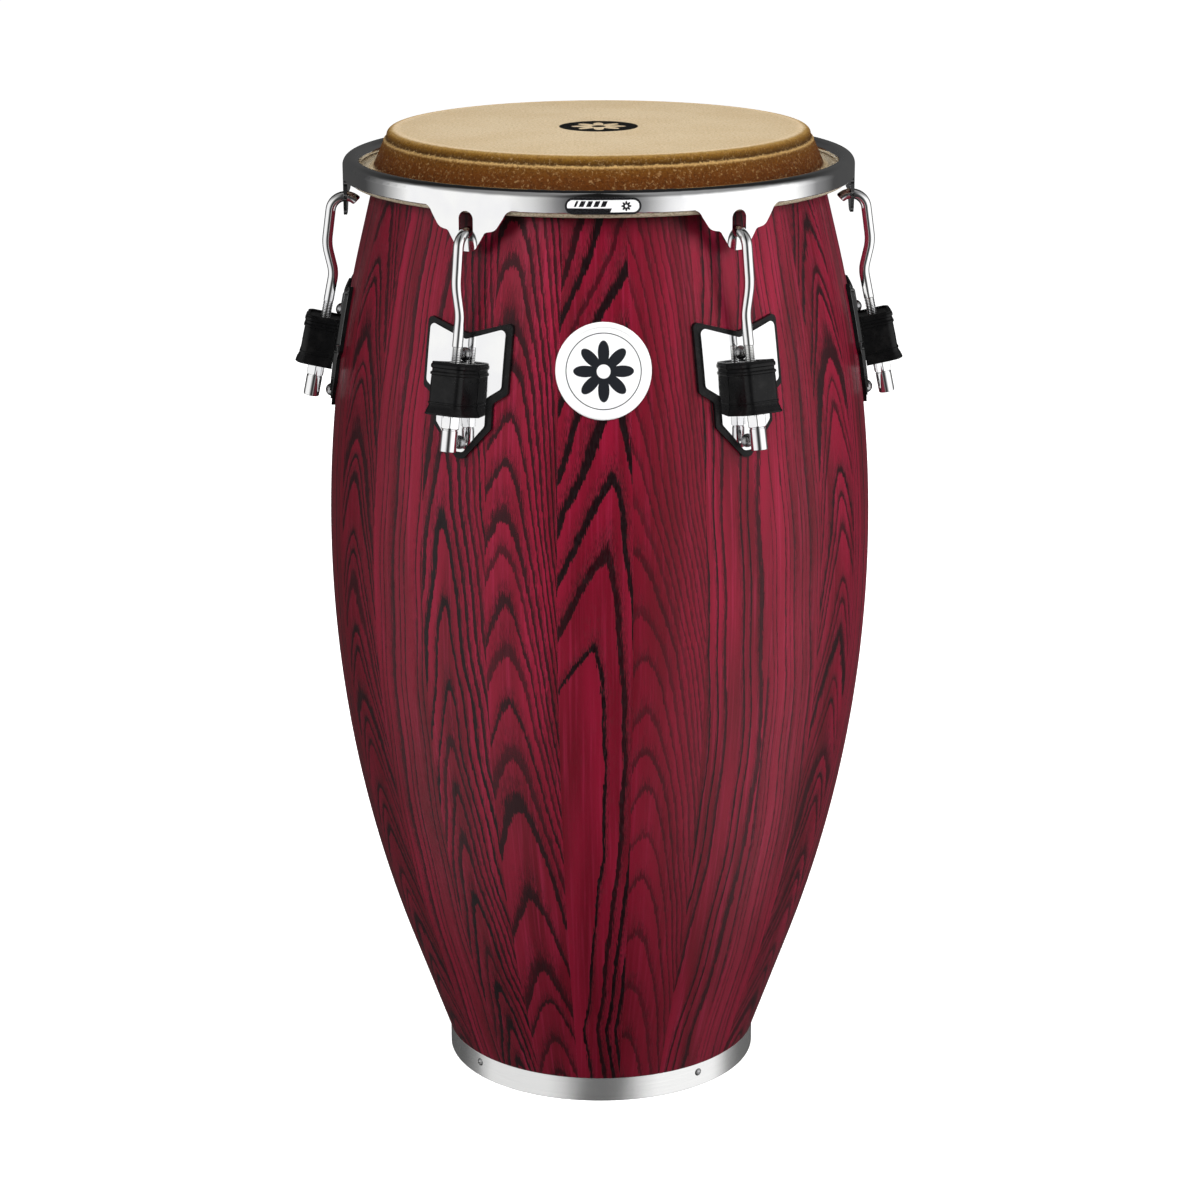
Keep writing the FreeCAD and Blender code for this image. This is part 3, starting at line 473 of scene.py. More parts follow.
def hide_material():
    """Thick natural hide: pale on top, golden and brown down its side, raw and cream below,
    with painted highlights on the rim and the raised fibre line, and painted shade in the groove.
    """
    s = Shader("natural_hide")
    place = s.attribute("hide_place")
    along = s.split(s.attribute("hide_run"))[0]
    fibre = s.noise(place, 0.40, 5.0, 0.75)
    fleck = s.noise(place, 0.50, 5.0, 0.80)
    cloud = s.noise(place, 0.022, 3.0)
    ragged = s.math("MULTIPLY_ADD", s.minus(fibre, 0.5), 6.5, along)
    # The stops carry painted highlights on the rim and the raised fibre line, and painted shade in
    # the groove between them.
    colour = s.stops(s.over(ragged, HIDE_RUN),
                     [(distance / HIDE_RUN, tint) for distance, tint in HIDE_TONES_AND_PAINTED_LIGHT])

    def shaded(share, tint):
        """The colour so far with some of it multiplied by a tint."""
        return s.mix(share, colour, s.mix(1.0, colour, tint, "MULTIPLY"))

    colour = shaded(s.ramp(cloud, 0.35, 0.70, 0.0, 0.40), rgb(0.86, 0.80, 0.70))
    on_side = s.ramp(along, 157.0, 162.0)
    fleck_share = s.times(s.ramp(fleck, 0.46, 0.62), s.math("MULTIPLY_ADD", on_side, 0.20, 0.60))
    colour = shaded(fleck_share, rgb(0.48, 0.40, 0.30))
    pale = s.times(s.ramp(fibre, 0.53, 0.68), s.math("MULTIPLY_ADD", on_side, 0.08, 0.24))
    colour = s.mix(pale, colour, rgb(0.58, 0.38, 0.17))
    # A black disc printed in the middle, with the rosette left open in it.
    across, back, _ = s.split(place)
    rosette, distance = petals(s, across, back, 5.5, 9.0, 12.0)
    disc = s.times(s.ramp(distance, PRINT_RADIUS, PRINT_RADIUS + 0.5, 1.0, 0.0),
                   s.ramp(along, 100.0, 101.0, 1.0, 0.0))
    print_share = s.times(disc, s.minus(1.0, rosette))
    worn = s.ramp(fleck, 0.62, 0.80, 0.998, 0.93)
    colour = s.mix(s.times(print_share, worn), colour, grey(0.004))
    height = s.math("MULTIPLY_ADD", fibre, s.math("MULTIPLY_ADD", on_side, 3.0, 0.9), fleck)
    s.bump(height, 0.00030, 0.8)
    rough = s.ramp(fibre, 0.3, 0.7, 0.42, 0.60)
    return s.finish(Base_Color=colour, Roughness=rough, Specular_IOR_Level=0.16)


def badge_material():
    """Brushed metal with a black rosette and a thin dark ring printed on it."""
    s = Shader("badge_metal")
    place = s.attribute("badge_place")
    across, up, _ = s.split(place)
    rosette, distance = petals(s, across, up, 5.0, 9.5, 12.5)
    ring = s.ramp(s.math("ABSOLUTE", s.minus(distance, 27.2)), 0.25, 0.45, 1.0, 0.0)
    ink = s.math("MAXIMUM", rosette, ring)
    brush = s.noise(s.scaled(place, (2.6, 0.05, 1.0)), 1.0, 4.0, 0.6)
    band = s.noise(s.scaled(place, (0.10, 0.004, 1.0)), 1.0, 1.0)
    metal = s.mix(s.ramp(brush, 0.25, 0.75), rgb(0.84, 0.84, 0.85), grey(0.98))
    metal = s.mix(s.ramp(band, 0.35, 0.65, 0.0, 0.25), metal, rgb(0.80, 0.80, 0.81))
    rim = s.ramp(distance, 30.8, 31.2)
    metal = s.mix(rim, metal, grey(0.93))
    s.bump(s.math("MULTIPLY_ADD", ink, 1.5, brush), 0.00003, 0.35)
    rough = s.mix(rim, s.ramp(brush, 0.2, 0.8, 0.30, 0.42), grey(0.12))
    return s.finish(Base_Color=s.mix(ink, metal, rgb(0.008, 0.009, 0.012)),
                    Metallic=s.times(s.minus(1.0, ink), 0.25), Roughness=rough)


def label_material():
    """White enamel with a black border, a black bar and a few plain shapes."""
    s = Shader("enamel_label")
    place = s.attribute("label_place")
    across, up, _ = s.split(place)
    past_end = s.math("MAXIMUM", s.minus(s.math("ABSOLUTE", across), LABEL_FLAT), 0.0)
    border = s.ramp(s.length(past_end, up), 4.25, 4.45)

    def box(value, low, high):
        """Where a value lies between two others, from 0 to 1."""
        return s.times(s.ramp(value, low - 0.1, low + 0.1),
                       s.ramp(value, high - 0.1, high + 0.1, 1.0, 0.0))

    slant = s.math("MULTIPLY_ADD", up, -0.45, across)
    bar = s.times(box(slant, -30.0, 7.0), box(up, -6.0, -1.5))
    wave = s.math("ABSOLUTE", s.minus(s.math("FRACT", s.over(slant, 5.2)), 0.5))
    slabs = s.times(s.ramp(wave, 0.15, 0.19), s.times(box(up, -0.5, 3.7), box(slant, -20.8, 2.6)))
    rosette, _ = petals(s, s.minus(across, 16.5), up, 1.0, 2.0, 1.7)
    ink = s.math("MAXIMUM", s.math("MAXIMUM", border, bar), s.math("MAXIMUM", slabs, rosette))
    grain = s.noise(place, 1.2, 3.0)
    face = s.mix(grain, rgb(0.66, 0.66, 0.67), grey(0.80))
    s.bump(s.math("MULTIPLY_ADD", ink, -1.0, grain), 0.00003, 0.3)
    rough = s.ramp(grain, 0.3, 0.7, 0.22, 0.32)
    return s.finish(Base_Color=s.mix(ink, face, rgb(0.007, 0.007, 0.008)), Roughness=rough)


def lining_material():
    """Bare birch with its edges turned up, inside the top of the shell."""
    s = Shader("bare_birch")
    place = s.place()
    layers = s.noise(s.scaled(place, (0.02, 0.02, 1.1)))
    fibre = s.noise(s.scaled(place, (0.10, 0.10, 2.4)), 1.0, 3.0)
    tint = s.mix(s.ramp(layers, 0.35, 0.65), rgb(0.42, 0.27, 0.14), rgb(0.60, 0.43, 0.25))
    s.bump(fibre, 0.00010, 0.5)
    return s.finish(Base_Color=tint, Roughness=s.ramp(fibre, 0.3, 0.7, 0.50, 0.66))


# By the slots that the pieces name. The foot ring has a finish of its own.
MATERIALS = {"stave_ash": wood_material(), "chrome": chrome_material(),
             "zinc_steel": zinc_material(), "rubber": rubber_material(), "hide": hide_material(),
             "badge_metal": badge_material(), "label_plate": label_material(),
             "lining_wood": lining_material(), "satin": satin_material()}


# The staves.

# The arches of the front staves, which are counted from the middle one to the right, in
# millimetres: the line that their tips stand on, as (height, across) from the foot up; how
# steeply they fall to the left and to the right, each with how much steeper they get further
# out; the heights of the tips, or the distance between them; the share of dark in the lines;
# and the share of maroon in the ground.
FIGURES = {
    -5: (((0, -70), (762, -60)), (60.0, 0.0), (60.0, 0.0), 400.0, 0.90, 0.95),
    -4: (((0, -2), (762, -6)), (1.1, 0.04), (1.3, 0.06), 26.0, 0.95, 0.55),
    -3: (((0, 60), (762, 66)), (55.0, 0.0), (55.0, 0.0), 440.0, 0.90, 0.20),
    -2: (((0, 0), (270, -6), (762, -13)), (6.0, 0.02), (7.0, 0.05),
         (-20, 18, 57, 96, 136, 182, 228, 275, 320, 364, 424, 486, 548, 610, 670, 730, 780, 830,
          880, 930, 990, 1060), 1.00, 0.00),
    -1: (((90, 3), (200, -4), (280, -11), (600, -11), (720, -15)), (1.4, 0.05), (0.8, 0.13),
         (20, 50, 94, 124, 195, 269, 311, 357, 402, 436, 473, 499, 538, 578, 612, 642, 680, 712,
          745, 790, 830, 872, 912, 955, 1000), 0.93, 0.05),
    0: (((70, -80), (316, -15), (447, 6), (580, 14), (700, 27)), (2.0, 0.016), (3.9, 0.02),
        (-900, -500, -200, 120, 408, 474, 528, 578, 628, 680, 722, 760, 800, 850, 905, 960),
        1.00, 0.25),
    1: (((50, -14), (400, -19), (500, -28), (762, -36)), (1.2, 0.04), (1.0, 0.12),
        (60, 110, 166, 212, 252, 287, 316, 351, 393, 432, 480, 520, 560, 590, 640, 680, 720, 770,
         810, 860, 900, 950, 1000, 1050, 1100), 0.65, 0.50),
    2: (((0, 60), (300, 66), (500, 55), (600, 52), (762, 62)), (26.0, 0.0), (26.0, 0.0), 260.0,
        1.00, 0.00),
    3: (((0, -50), (762, -60)), (50.0, 0.0), (46.0, 0.0), 280.0, 0.80, 0.00),
    4: (((0, 6), (762, 2)), (1.6, 0.05), (1.5, 0.04), 29.0, 0.95, 0.05),
    5: (((0, 66), (762, 66)), (60.0, 0.0), (60.0, 0.0), 360.0, 0.85, 0.20),
}
# How round the tips are, how far the lines wander, and how uneven their distances are where no
# heights are listed.
TIP = 2.6
WANDER_ACROSS = 0.85
WANDER_ALONG = 8.0
WANDER_SHARE = 0.2
UNEVEN = 0.32
UNEVEN_PACE = 2.3
# The waves of the tips' line from side to side, then those of the lines' heights: how far each
# reaches and its wavelength over 2 pi, both at most.
WOBBLES = ((2.4, 90), (1.0, 30), (4.0, 60), (2.5, 20))
# Each stave has its own layer of the noise, and ends this many degrees short of its joints.
NOISE_LAYER = 3.7
JOINT_GAP = 0.004
STAVE_COLUMNS = 24
STAVE_ROWS = 170
# Under the hide the wood stands back, so that it stays covered when the hide is drawn down.
TUCK = 0.0015
TUCK_LOW = 0.729


def stave_profile():
    """Pairs of an outer and an inner point, from the foot up to the bearing edge."""
    pairs = []

    def add(outer, height):
        slope = math.cos(TOP_ANGLE if height > BELLY_HEIGHT else LOW_ANGLE)
        pairs.append(((outer, height), (shell_radius(height) - WALL / slope, height)))

    add(FOOT_RADIUS, FOOT_LOW)
    add(FOOT_RADIUS, FOOT_STEP)
    for row in range(STAVE_ROWS + 1):
        height = FOOT_STEP + (BEARING_LOW - FOOT_STEP) * row / STAVE_ROWS
        tucked = max(0.0, (height - TUCK_LOW) / (BEARING_LOW - TUCK_LOW)) * TUCK
        add(shell_radius(height) - tucked, height)
    turn = math.degrees(BEARING_ANGLE)
    for radius, height in arc_points((EDGE_RADIUS, EDGE_HEIGHT), EDGE_ROUND, turn, 90, 4):
        add(radius, height)
    return pairs


def ring_count(figure, wobble, across, height):
    """How many growth rings lie below a point of a stave, and how far they wander there."""
    line, left, right, tips, _, _ = figure
    axis = np.interp(height, [point[0] for point in line], [point[1] for point in line])
    wave, rise = (sum(reach * math.sin(height / period + phase) for reach, period, phase in waves)
                  for waves in (wobble[:2], wobble[2:]))
    aside = across - axis - wave
    steep, curve = left if aside < 0 else right
    value = height + rise + steep * (math.hypot(aside, TIP) - TIP) + curve * aside ** 2
    if isinstance(tips, float):
        spacing = tips
        count = value / tips
        count += UNEVEN * math.sin(UNEVEN_PACE * count + wobble[0][2])
    else:
        below = min(max(bisect.bisect(tips, value), 1), len(tips) - 1)
        spacing = tips[below] - tips[below - 1]
        count = below + (value - tips[below]) / spacing
    slope = steep * abs(aside) / math.hypot(aside, TIP) + 2 * curve * abs(aside)
    wander = WANDER_ACROSS * slope + min(WANDER_ALONG, WANDER_SHARE * spacing)
    return count, wander / spacing, 0


def drawn_figure(chance):
    """A figure for a stave that has none of its own: arches, or nearly straight lines."""
    maroon = chance.uniform(0, 0.4)
    lean = chance.uniform(-8, 8)
    if chance.random() < 0.5:
        axis = chance.uniform(-10, 10)
        left, right = ((chance.uniform(0.9, 2.0), chance.uniform(0.03, 0.14)) for _ in range(2))
        tips, dark = chance.uniform(30, 55), 1.0
    else:
        axis = chance.choice((-1, 1)) * chance.uniform(45, 70)
        left = right = (50.0, 0.0)
        tips, dark = chance.uniform(240, 340), 0.9
    return ((0, axis - lean), (762, axis + lean)), left, right, tips, dark, maroon


def board_faces(rows, columns):
    """Faces for a bent board: its outer grid of points, its inner one, and the edges between."""
    inner = rows * columns
    faces = grid_faces(rows, columns) + shifted(grid_faces(rows, columns, flip=True), inner)
    for row in range(rows - 1):
        for column, forward in ((0, False), (columns - 1, True)):
            low = row * columns + column
            high = low + columns
            face = (low, low + inner, high + inner, high)
            faces.append(face if forward else face[::-1])
    for row, forward in ((0, False), (rows - 1, True)):
        for column in range(columns - 1):
            left = row * columns + column
            face = (left, left + 1, left + 1 + inner, left + inner)
            faces.append(face if forward else face[::-1])
    return faces


def make_stave(index, profile, chance):
    """One stave with its own grain."""
    figure = FIGURES.get(index) or drawn_figure(chance)
    wobble = [(chance.uniform(reach / 2, reach), chance.uniform(period / 2, period),
               chance.uniform(0, 2 * math.pi))
              for reach, period in WOBBLES]
    centre = MIDDLE_STAVE + 360 / STAVES * index
    half = 180 / STAVES - JOINT_GAP
    dark, maroon = figure[4:]
    points = []
    grain = []
    rings = []
    tone = []
    for side in (0, 1):
        for pair in profile:
            radius, height = pair[side]
            for column in range(STAVE_COLUMNS + 1):
                turn = (2 * column / STAVE_COLUMNS - 1) * half
                across = radius * math.radians(turn) * TO_MM
                points.append(around(radius, centre + turn, height))
                grain.append((across, height * TO_MM, index * NOISE_LAYER))
                rings.append(ring_count(figure, wobble, across, height * TO_MM))
                tone.append((dark, maroon, side))
    number = index % STAVES + 1
    faces = board_faces(len(profile), STAVE_COLUMNS + 1)
    piece = new_piece("stave_%02d" % number, points, faces, "shell", "stave_ash", "shell_staves")
    add_attribute(piece, "grain", grain)
    add_attribute(piece, "rings", rings)
    add_attribute(piece, "tone", tone)


def make_staves():
    """Every stave; the front ones keep their own figures, the others draw theirs."""
    profile = stave_profile()
    for index in range(-STAVES // 2, STAVES // 2):
        make_stave(index, profile, random.Random(SEED + index))


# The head.

HIDE_SIDES = 192
# A shallow groove and the raised fibre line under it: the height of a point on the hide's side
# and how far it stands out there.
HIDE_RIPPLE = ((0.7580, -0.0002), (0.7568, -0.0006), (0.7556, -0.0006), (0.7548, -0.0001),
               (0.7542, 0.0003), (0.7534, 0.0003), (0.7526, 0.0), (0.7500, 0.0), (0.7450, 0.0),
               (0.7400, 0.0))
# Where the side flares out towards its ring, as radius and height.
HIDE_FLARE = ((0.1738, 0.7342), (0.1752, 0.7336))
# The angles at which the hide meets its ring and leaves it.
WRAP_START = 140
WRAP_END = -150


def hide_profile():
    """The hide's section as a closed loop, from the middle of its top round to its underside."""
    inner = EDGE_ROUND + HIDE_GAP
    outer = inner + HIDE
    top = EDGE_HEIGHT + outer
    turn = math.degrees(BEARING_ANGLE)
    lean = math.tan(BEARING_ANGLE)
    edge = (EDGE_RADIUS, EDGE_HEIGHT)
    ring = (FLESH_RADIUS, FLESH_HEIGHT)
    collar = FLESH_HEIGHT + WRAP_RADIUS * math.sin(math.radians(WRAP_START))

    def down(radius, height):
        """A point on the slope below an arc of the edge."""
        start = EDGE_RADIUS + radius * math.cos(BEARING_ANGLE)
        return start + (EDGE_HEIGHT + radius * math.sin(BEARING_ANGLE) - height) * lean, height

    loop = [(0.0, top)] + [(radius / TO_MM, top) for radius in range(10, 158, 12)]
    loop += arc_points(edge, outer, 90, turn, 8)
    for height, proud in HIDE_RIPPLE:
        radius, _ = down(outer, height)
        loop.append((radius + proud, height))
    loop.append(down(outer, BEARING_LOW))
    loop += HIDE_FLARE
    loop.append((FLESH_RADIUS - 0.0100, collar - 0.0003))
    loop += arc_points(ring, WRAP_RADIUS, WRAP_START, WRAP_END, 22)
    loop += arc_points(ring, WRAP_RADIUS - WRAP_HIDE, WRAP_END, WRAP_START, 16)
    loop.append((FLESH_RADIUS - 0.0116, collar - 0.0027))
    loop.append((down(inner, BEARING_LOW - 0.002)[0], BEARING_LOW - 0.0036))
    loop += arc_points(edge, inner, turn, 90, 4)
    loop.append((0.0, top - HIDE))
    return loop


def make_hide():
    """The hide, pale and flat on top, wrapped round its ring below."""
    loop = hide_profile()
    run = [0.0]
    for before, point in zip(loop, loop[1:]):
        run.append(run[-1] + math.dist(before, point) * TO_MM)
    points = [Vector((0, 0, loop[0][1]))]
    runs = [(0, 0, 0)]
    for (radius, height), along in zip(loop[1:-1], run[1:-1]):
        for side in range(HIDE_SIDES):
            points.append(around(radius, 360 * side / HIDE_SIDES, height))
            runs.append((along, 0, 0))
    points.append(Vector((0, 0, loop[-1][1])))
    runs.append((run[-1], 0, 0))
    piece = new_piece("drumhead_hide", points, turned_faces(len(loop) - 2, HIDE_SIDES), None,
                      "hide", "drumhead_skin")
    add_attribute(piece, "hide_run", runs)
    add_attribute(piece, "hide_place", [point * TO_MM for point in points])
    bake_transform(piece)


# The tuning hooks.

WIRE_SIDES = 24
ROD_END = 0.032
BEND_HEIGHT = 0.6444
BEND_ROUND = 0.025
BULGE_ROUND = 0.035
BULGE_LEAN = math.radians(12.3)
HOOK_LEAN = math.radians(8.0)
HOOK_ROUND = 0.012
HOOK_CENTRE = (0.1961, 0.697)
HOOK_TIP = math.radians(136.0)
HOOK_STEPS = 24
THREAD_LOW = 0.030
THREAD_HIGH = 0.0675
THREAD_PITCH = 0.00125
THREAD_DEPTH = 0.0009
THREAD_STEPS = 8
CHAMFER = 0.0007


def leaning(angle):
    """A direction in a station's plane that leans in from straight up."""
    return Vector((-math.sin(angle), math.cos(angle)))


def turn_arc(start, way, new_way, radius, steps):
    """Points along the arc that leads from one direction to another in a plane."""
    left = math.copysign(1.0, way.x * new_way.y - way.y * new_way.x)
    centre = start + Vector((-way.y, way.x)) * left * radius
    whole = math.acos(min(1.0, way.dot(new_way)))
    return [centre + Matrix.Rotation(left * whole * step / steps, 2) @ (start - centre)
            for step in range(1, steps + 1)]


def hook_path():
    """The rod's middle line as (radius, height) points, from its threaded end to its tip."""
    up_leg = leaning(LUG_TILT)
    up_bulge = leaning(-BULGE_LEAN)
    up_hook = leaning(HOOK_LEAN)
    middle = Vector((LUG_RADIUS, LUG_HEIGHT))
    end = middle - up_leg * ROD_END
    bend = middle + up_leg * ((BEND_HEIGHT - LUG_HEIGHT) / up_leg.y)
    lengths = [0.0, CHAMFER]
    count = round((THREAD_HIGH - THREAD_LOW) / THREAD_PITCH) * THREAD_STEPS
    lengths += [THREAD_LOW + THREAD_PITCH * step / THREAD_STEPS for step in range(count + 1)]
    path = [end + up_leg * length for length in lengths] + [bend]
    path += turn_arc(bend, up_leg, up_bulge, BEND_ROUND, 8)
    chord = turn_arc(Vector((0, 0)), up_bulge, up_hook, BULGE_ROUND, 1)[0]
    centre = Vector(HOOK_CENTRE)
    hook_start = centre + Vector((math.cos(HOOK_LEAN), math.sin(HOOK_LEAN))) * HOOK_ROUND
    span = hook_start - path[-1] - chord
    cross = up_bulge.x * up_hook.y - up_bulge.y * up_hook.x
    rise = (span.x * up_hook.y - span.y * up_hook.x) / cross
    path.append(path[-1] + up_bulge * rise)
    path += turn_arc(path[-1], up_bulge, up_hook, BULGE_ROUND, 8)
    path += [Vector(point) for point in
             arc_points(centre, HOOK_ROUND, math.degrees(HOOK_LEAN), math.degrees(HOOK_TIP),
                        HOOK_STEPS)]
    tip_way = leaning(HOOK_TIP)
    path[-1] = path[-1] - tip_way * CHAMFER
    path.append(path[-1] + tip_way * CHAMFER)
    return path


def thread_depth(length, share):
    """How deep the thread's groove is at a length along the rod and a share of a turn."""
    if not THREAD_LOW < length < THREAD_HIGH:
        return 0.0
    fade = min(1.0, (length - THREAD_LOW) / THREAD_PITCH, (THREAD_HIGH - length) / THREAD_PITCH)
    wave = abs((length / THREAD_PITCH - share) % 1.0 - 0.5) * 2
    return THREAD_DEPTH * fade * min(1.0, max(0.0, 1.25 * wave - 0.12))


def make_hook(station, path):
    """One bent rod with a cut thread, a hook and chamfered ends."""
    points = []
    length = 0.0
    for index, point in enumerate(path):
        before = path[max(index - 1, 0)]
        after = path[min(index + 1, len(path) - 1)]
        way = (after - before).normalized()
        side = Vector((way.y, -way.x))
        length += (point - before).length
        ended = index in (0, len(path) - 1)
        for step in range(WIRE_SIDES):
            share = step / WIRE_SIDES
            radius = ROD_RADIUS - thread_depth(length, share) - (CHAMFER if ended else 0.0)
            out = radius * math.cos(2 * math.pi * share)
            aside = radius * math.sin(2 * math.pi * share)
            points.append(at_station(station, point.x + side.x * out, aside,
                                     point.y + side.y * out))
    faces = grid_faces(len(path), WIRE_SIDES, wrap_columns=True)
    faces.append(tuple(range(WIRE_SIDES))[::-1])
    faces.append(tuple(range(len(points) - WIRE_SIDES, len(points))))
    new_piece("hook_rod_%d" % station, points, faces, "hook_%d" % station, "chrome",
              "tuning_hook_%d" % station)


# The tuning nuts.

NUT_SIDES = 144
NUT_HALF = 0.0065
NUT_CORNER = 0.00735
NUT_TOP = -0.0133
NUT_HEX_LOW = -0.0249
NUT_LOW = -0.0417
NUT_SLEEVE = 0.0062
NUT_BORE = 0.00405


def nut_profile():
    """The nut's half section as a closed loop of (height along the rod, radius limit).

    It runs down the outside: chamfer, hexagon, chamfer, groove, sleeve. Then it runs up the bore.
    """
    loop = [(NUT_TOP, NUT_BORE + 0.0005), (NUT_TOP, 0.0060), (NUT_TOP - 0.0004, 0.0067),
            (NUT_TOP - 0.0009, NUT_CORNER + 0.0002), (NUT_HEX_LOW + 0.0009, NUT_CORNER + 0.0002),
            (NUT_HEX_LOW + 0.0004, 0.0067), (NUT_HEX_LOW, 0.0061),
            (NUT_HEX_LOW - 0.0002, 0.0058), (NUT_HEX_LOW - 0.0010, 0.0058),
            (NUT_HEX_LOW - 0.0012, NUT_SLEEVE)]
    loop += [(height, radius) for radius, height in
             arc_points((NUT_SLEEVE - 0.0008, NUT_LOW + 0.0008), 0.0008, 0, -90, 5)]
    loop += [(NUT_LOW, NUT_BORE + 0.0006), (NUT_LOW + 0.0006, NUT_BORE),
             (NUT_TOP - 0.0005, NUT_BORE)]
    return loop


def make_nut(station):
    """A long nut: a chamfered hexagon above a turned sleeve, bored right through."""
    points = []
    profile = nut_profile()
    for along, limit in profile:
        for side in range(NUT_SIDES):
            turn = 2 * math.pi * side / NUT_SIDES
            off_flat = (turn + math.pi / 6) % (math.pi / 3) - math.pi / 6
            radius = min(NUT_HALF / math.cos(off_flat), NUT_CORNER, limit)
            radial, height = lug_section(radius * math.cos(turn), along)
            points.append(at_station(station, radial, radius * math.sin(turn), height))
    faces = grid_faces(len(profile), NUT_SIDES, wrap_rows=True, wrap_columns=True, flip=True)
    new_piece("nut_%d_turned" % station, points, faces, "nut_%d" % station, "chrome",
              "tuning_nut_%d" % station, smooth=24)


# The rubber boots.

BOOT_HALF = 13.6
BOOT_FRONT = 14.4
BOOT_RUBBER = 2.3
BOOT_CORNER = 5.5
BOOT_GAP = 0.0003
BOOT_LOW = -15.1
# Rounds of closing in on the plate's curve.
BACK_ROUNDS = 4
WEB_HIGH = 22.4
WEB_LOW = 20.9
WEB_HOLE = 0.0044
WEB_BACK = (-8.0, -4.0, 0.0, 4.0, 8.0)
WEB_ROUND = 0.4
WEB_OVERLAP = 0.1
# How far the rubber stands out at heights above the boot's lower edge, in millimetres: the lip
# and flared skirt, a thin rib, the plain middle, and two ribs at the top.
BOOT_SHAPE = (
    (0.0, 2.0), (0.3, 2.35), (1.0, 2.4), (1.5, 2.15), (1.8, 1.95), (3.0, 1.55), (4.4, 1.0),
    (5.6, 0.45), (6.8, 0.08), (7.9, -0.1), (8.0, 0.35), (8.3, 0.62), (8.9, 0.68), (9.3, 0.45),
    (9.4, 0.0), (12.0, 0.0), (18.0, 0.12), (24.0, 0.05), (28.6, -0.05), (28.9, -0.15),
    (29.1, 0.45), (29.5, 0.85), (30.6, 0.88), (31.2, 0.5), (31.4, -0.1), (31.9, -0.3),
    (33.4, -0.3), (34.0, 0.1), (34.2, 0.65), (34.8, 0.88), (36.3, 0.88), (36.9, 0.5),
    (37.2, 0.15), (38.1, 0.05), (38.5, -0.15), (38.7, -0.6))


def boot_outline(proud):
    """A rounded channel, open at its back, as points (outward, aside, share of the way back)."""
    half, front, corner = (size + proud for size in (BOOT_HALF, BOOT_FRONT, BOOT_CORNER))
    side = [(front - corner, half, share / 5) for share in range(5, 0, -1)]
    arc = [(x, y, 0.0) for x, y in
           arc_points((front - corner, half - corner), corner, 90, 0, 8)]
    right = side + arc
    flat = [(front, (half - corner) * share / 3, 0.0) for share in (2, 1, 0, -1, -2)]
    return right + flat + [(x, -y, back) for x, y, back in reversed(right)]


def boot_point(station, outward, aside, share, along):
    """A point of the boot, in millimetres. A share of 1 puts it on the side plate's curve."""
    outward, aside, along = outward / TO_MM, aside / TO_MM, along / TO_MM
    back = outward
    for _ in range(BACK_ROUNDS):
        radial, height = lug_section(back, along)
        face = layer_radius(height, PLATE_FACE + BOOT_GAP)
        wanted = math.sqrt(face ** 2 - aside ** 2)
        back += (wanted - radial) * math.cos(LUG_TILT)
    radial, height = lug_section(outward + (back - outward) * share, along)
    return at_station(station, radial, aside, height)


def boot_web(station, first):
    """A web across the boot near its top, with a hole for the rod, as points and faces."""
    edge = boot_outline(WEB_OVERLAP - BOOT_RUBBER)
    edge += [(0.0, aside, 1.0) for aside in WEB_BACK]
    # The share of the way in to the hole, and the height.
    section = ((0.0, WEB_HIGH), (0.75, WEB_HIGH), (1.0, WEB_HIGH - WEB_ROUND),
               (1.0, WEB_LOW + WEB_ROUND), (0.75, WEB_LOW), (0.0, WEB_LOW))
    points = []
    for hole, along in section:
        for outward, aside, share in edge:
            place = boot_point(station, outward, aside, share, along)
            turn = math.atan2(aside, outward if share < 1 else -BOOT_FRONT)
            radial, height = lug_section(WEB_HOLE * math.cos(turn), along / TO_MM)
            rim = at_station(station, radial, WEB_HOLE * math.sin(turn), height)
            points.append(place.lerp(rim, hole))
    faces = grid_faces(len(section), len(edge), wrap_rows=True, wrap_columns=True)
    return points, shifted(faces, first)


def make_boot(station):
    """The rubber sleeve over the bracket."""
    points = []
    inner = boot_outline(-BOOT_RUBBER)
    for above, proud in BOOT_SHAPE:
        points += [boot_point(station, outward, aside, share, BOOT_LOW + above)
                   for outward, aside, share in boot_outline(proud) + inner[::-1]]
    columns = len(inner)
    around_section = 2 * columns
    faces = grid_faces(len(BOOT_SHAPE), around_section, wrap_columns=True)
    top = (len(BOOT_SHAPE) - 1) * around_section
    for column in range(columns - 1):
        beside = column + 1
        face = (column, beside, around_section - 1 - beside, around_section - 1 - column)
        faces += [face] + shifted([face[::-1]], top)
    web_points, web_faces = boot_web(station, len(points))
    new_piece("boot_%d" % station, points + web_points, faces + web_faces, "shell", "rubber",
              "rubber_boot_%d" % station, smooth=50)


# The badge and the hoop's label.

BADGE_SIDES = 120
BADGE_SHAPE = (
    # Distance from the middle and height above the shell, in millimetres.
    (9.0, 0.85), (18.0, 0.85), (26.0, 0.85), (30.6, 0.85), (31.1, 0.95), (31.5, 1.25),
    (32.0, 1.35), (33.6, 1.35), (34.4, 1.2), (34.9, 0.8), (35.0, 0.4), (34.9, 0.08))
LABEL_ROUND = 6.0
LABEL_BACK = 0.06
LABEL_SHAPE = (
    # Share of the way from the label's middle line to its edge, and height above the hoop.
    (0.0, 0.36), (0.45, 0.36), (0.76, 0.36), (0.82, 0.40), (0.86, 0.52), (0.94, 0.55),
    (0.99, 0.45), (1.0, 0.30))
# Points nearer than this are one.
WELD = 0.00001


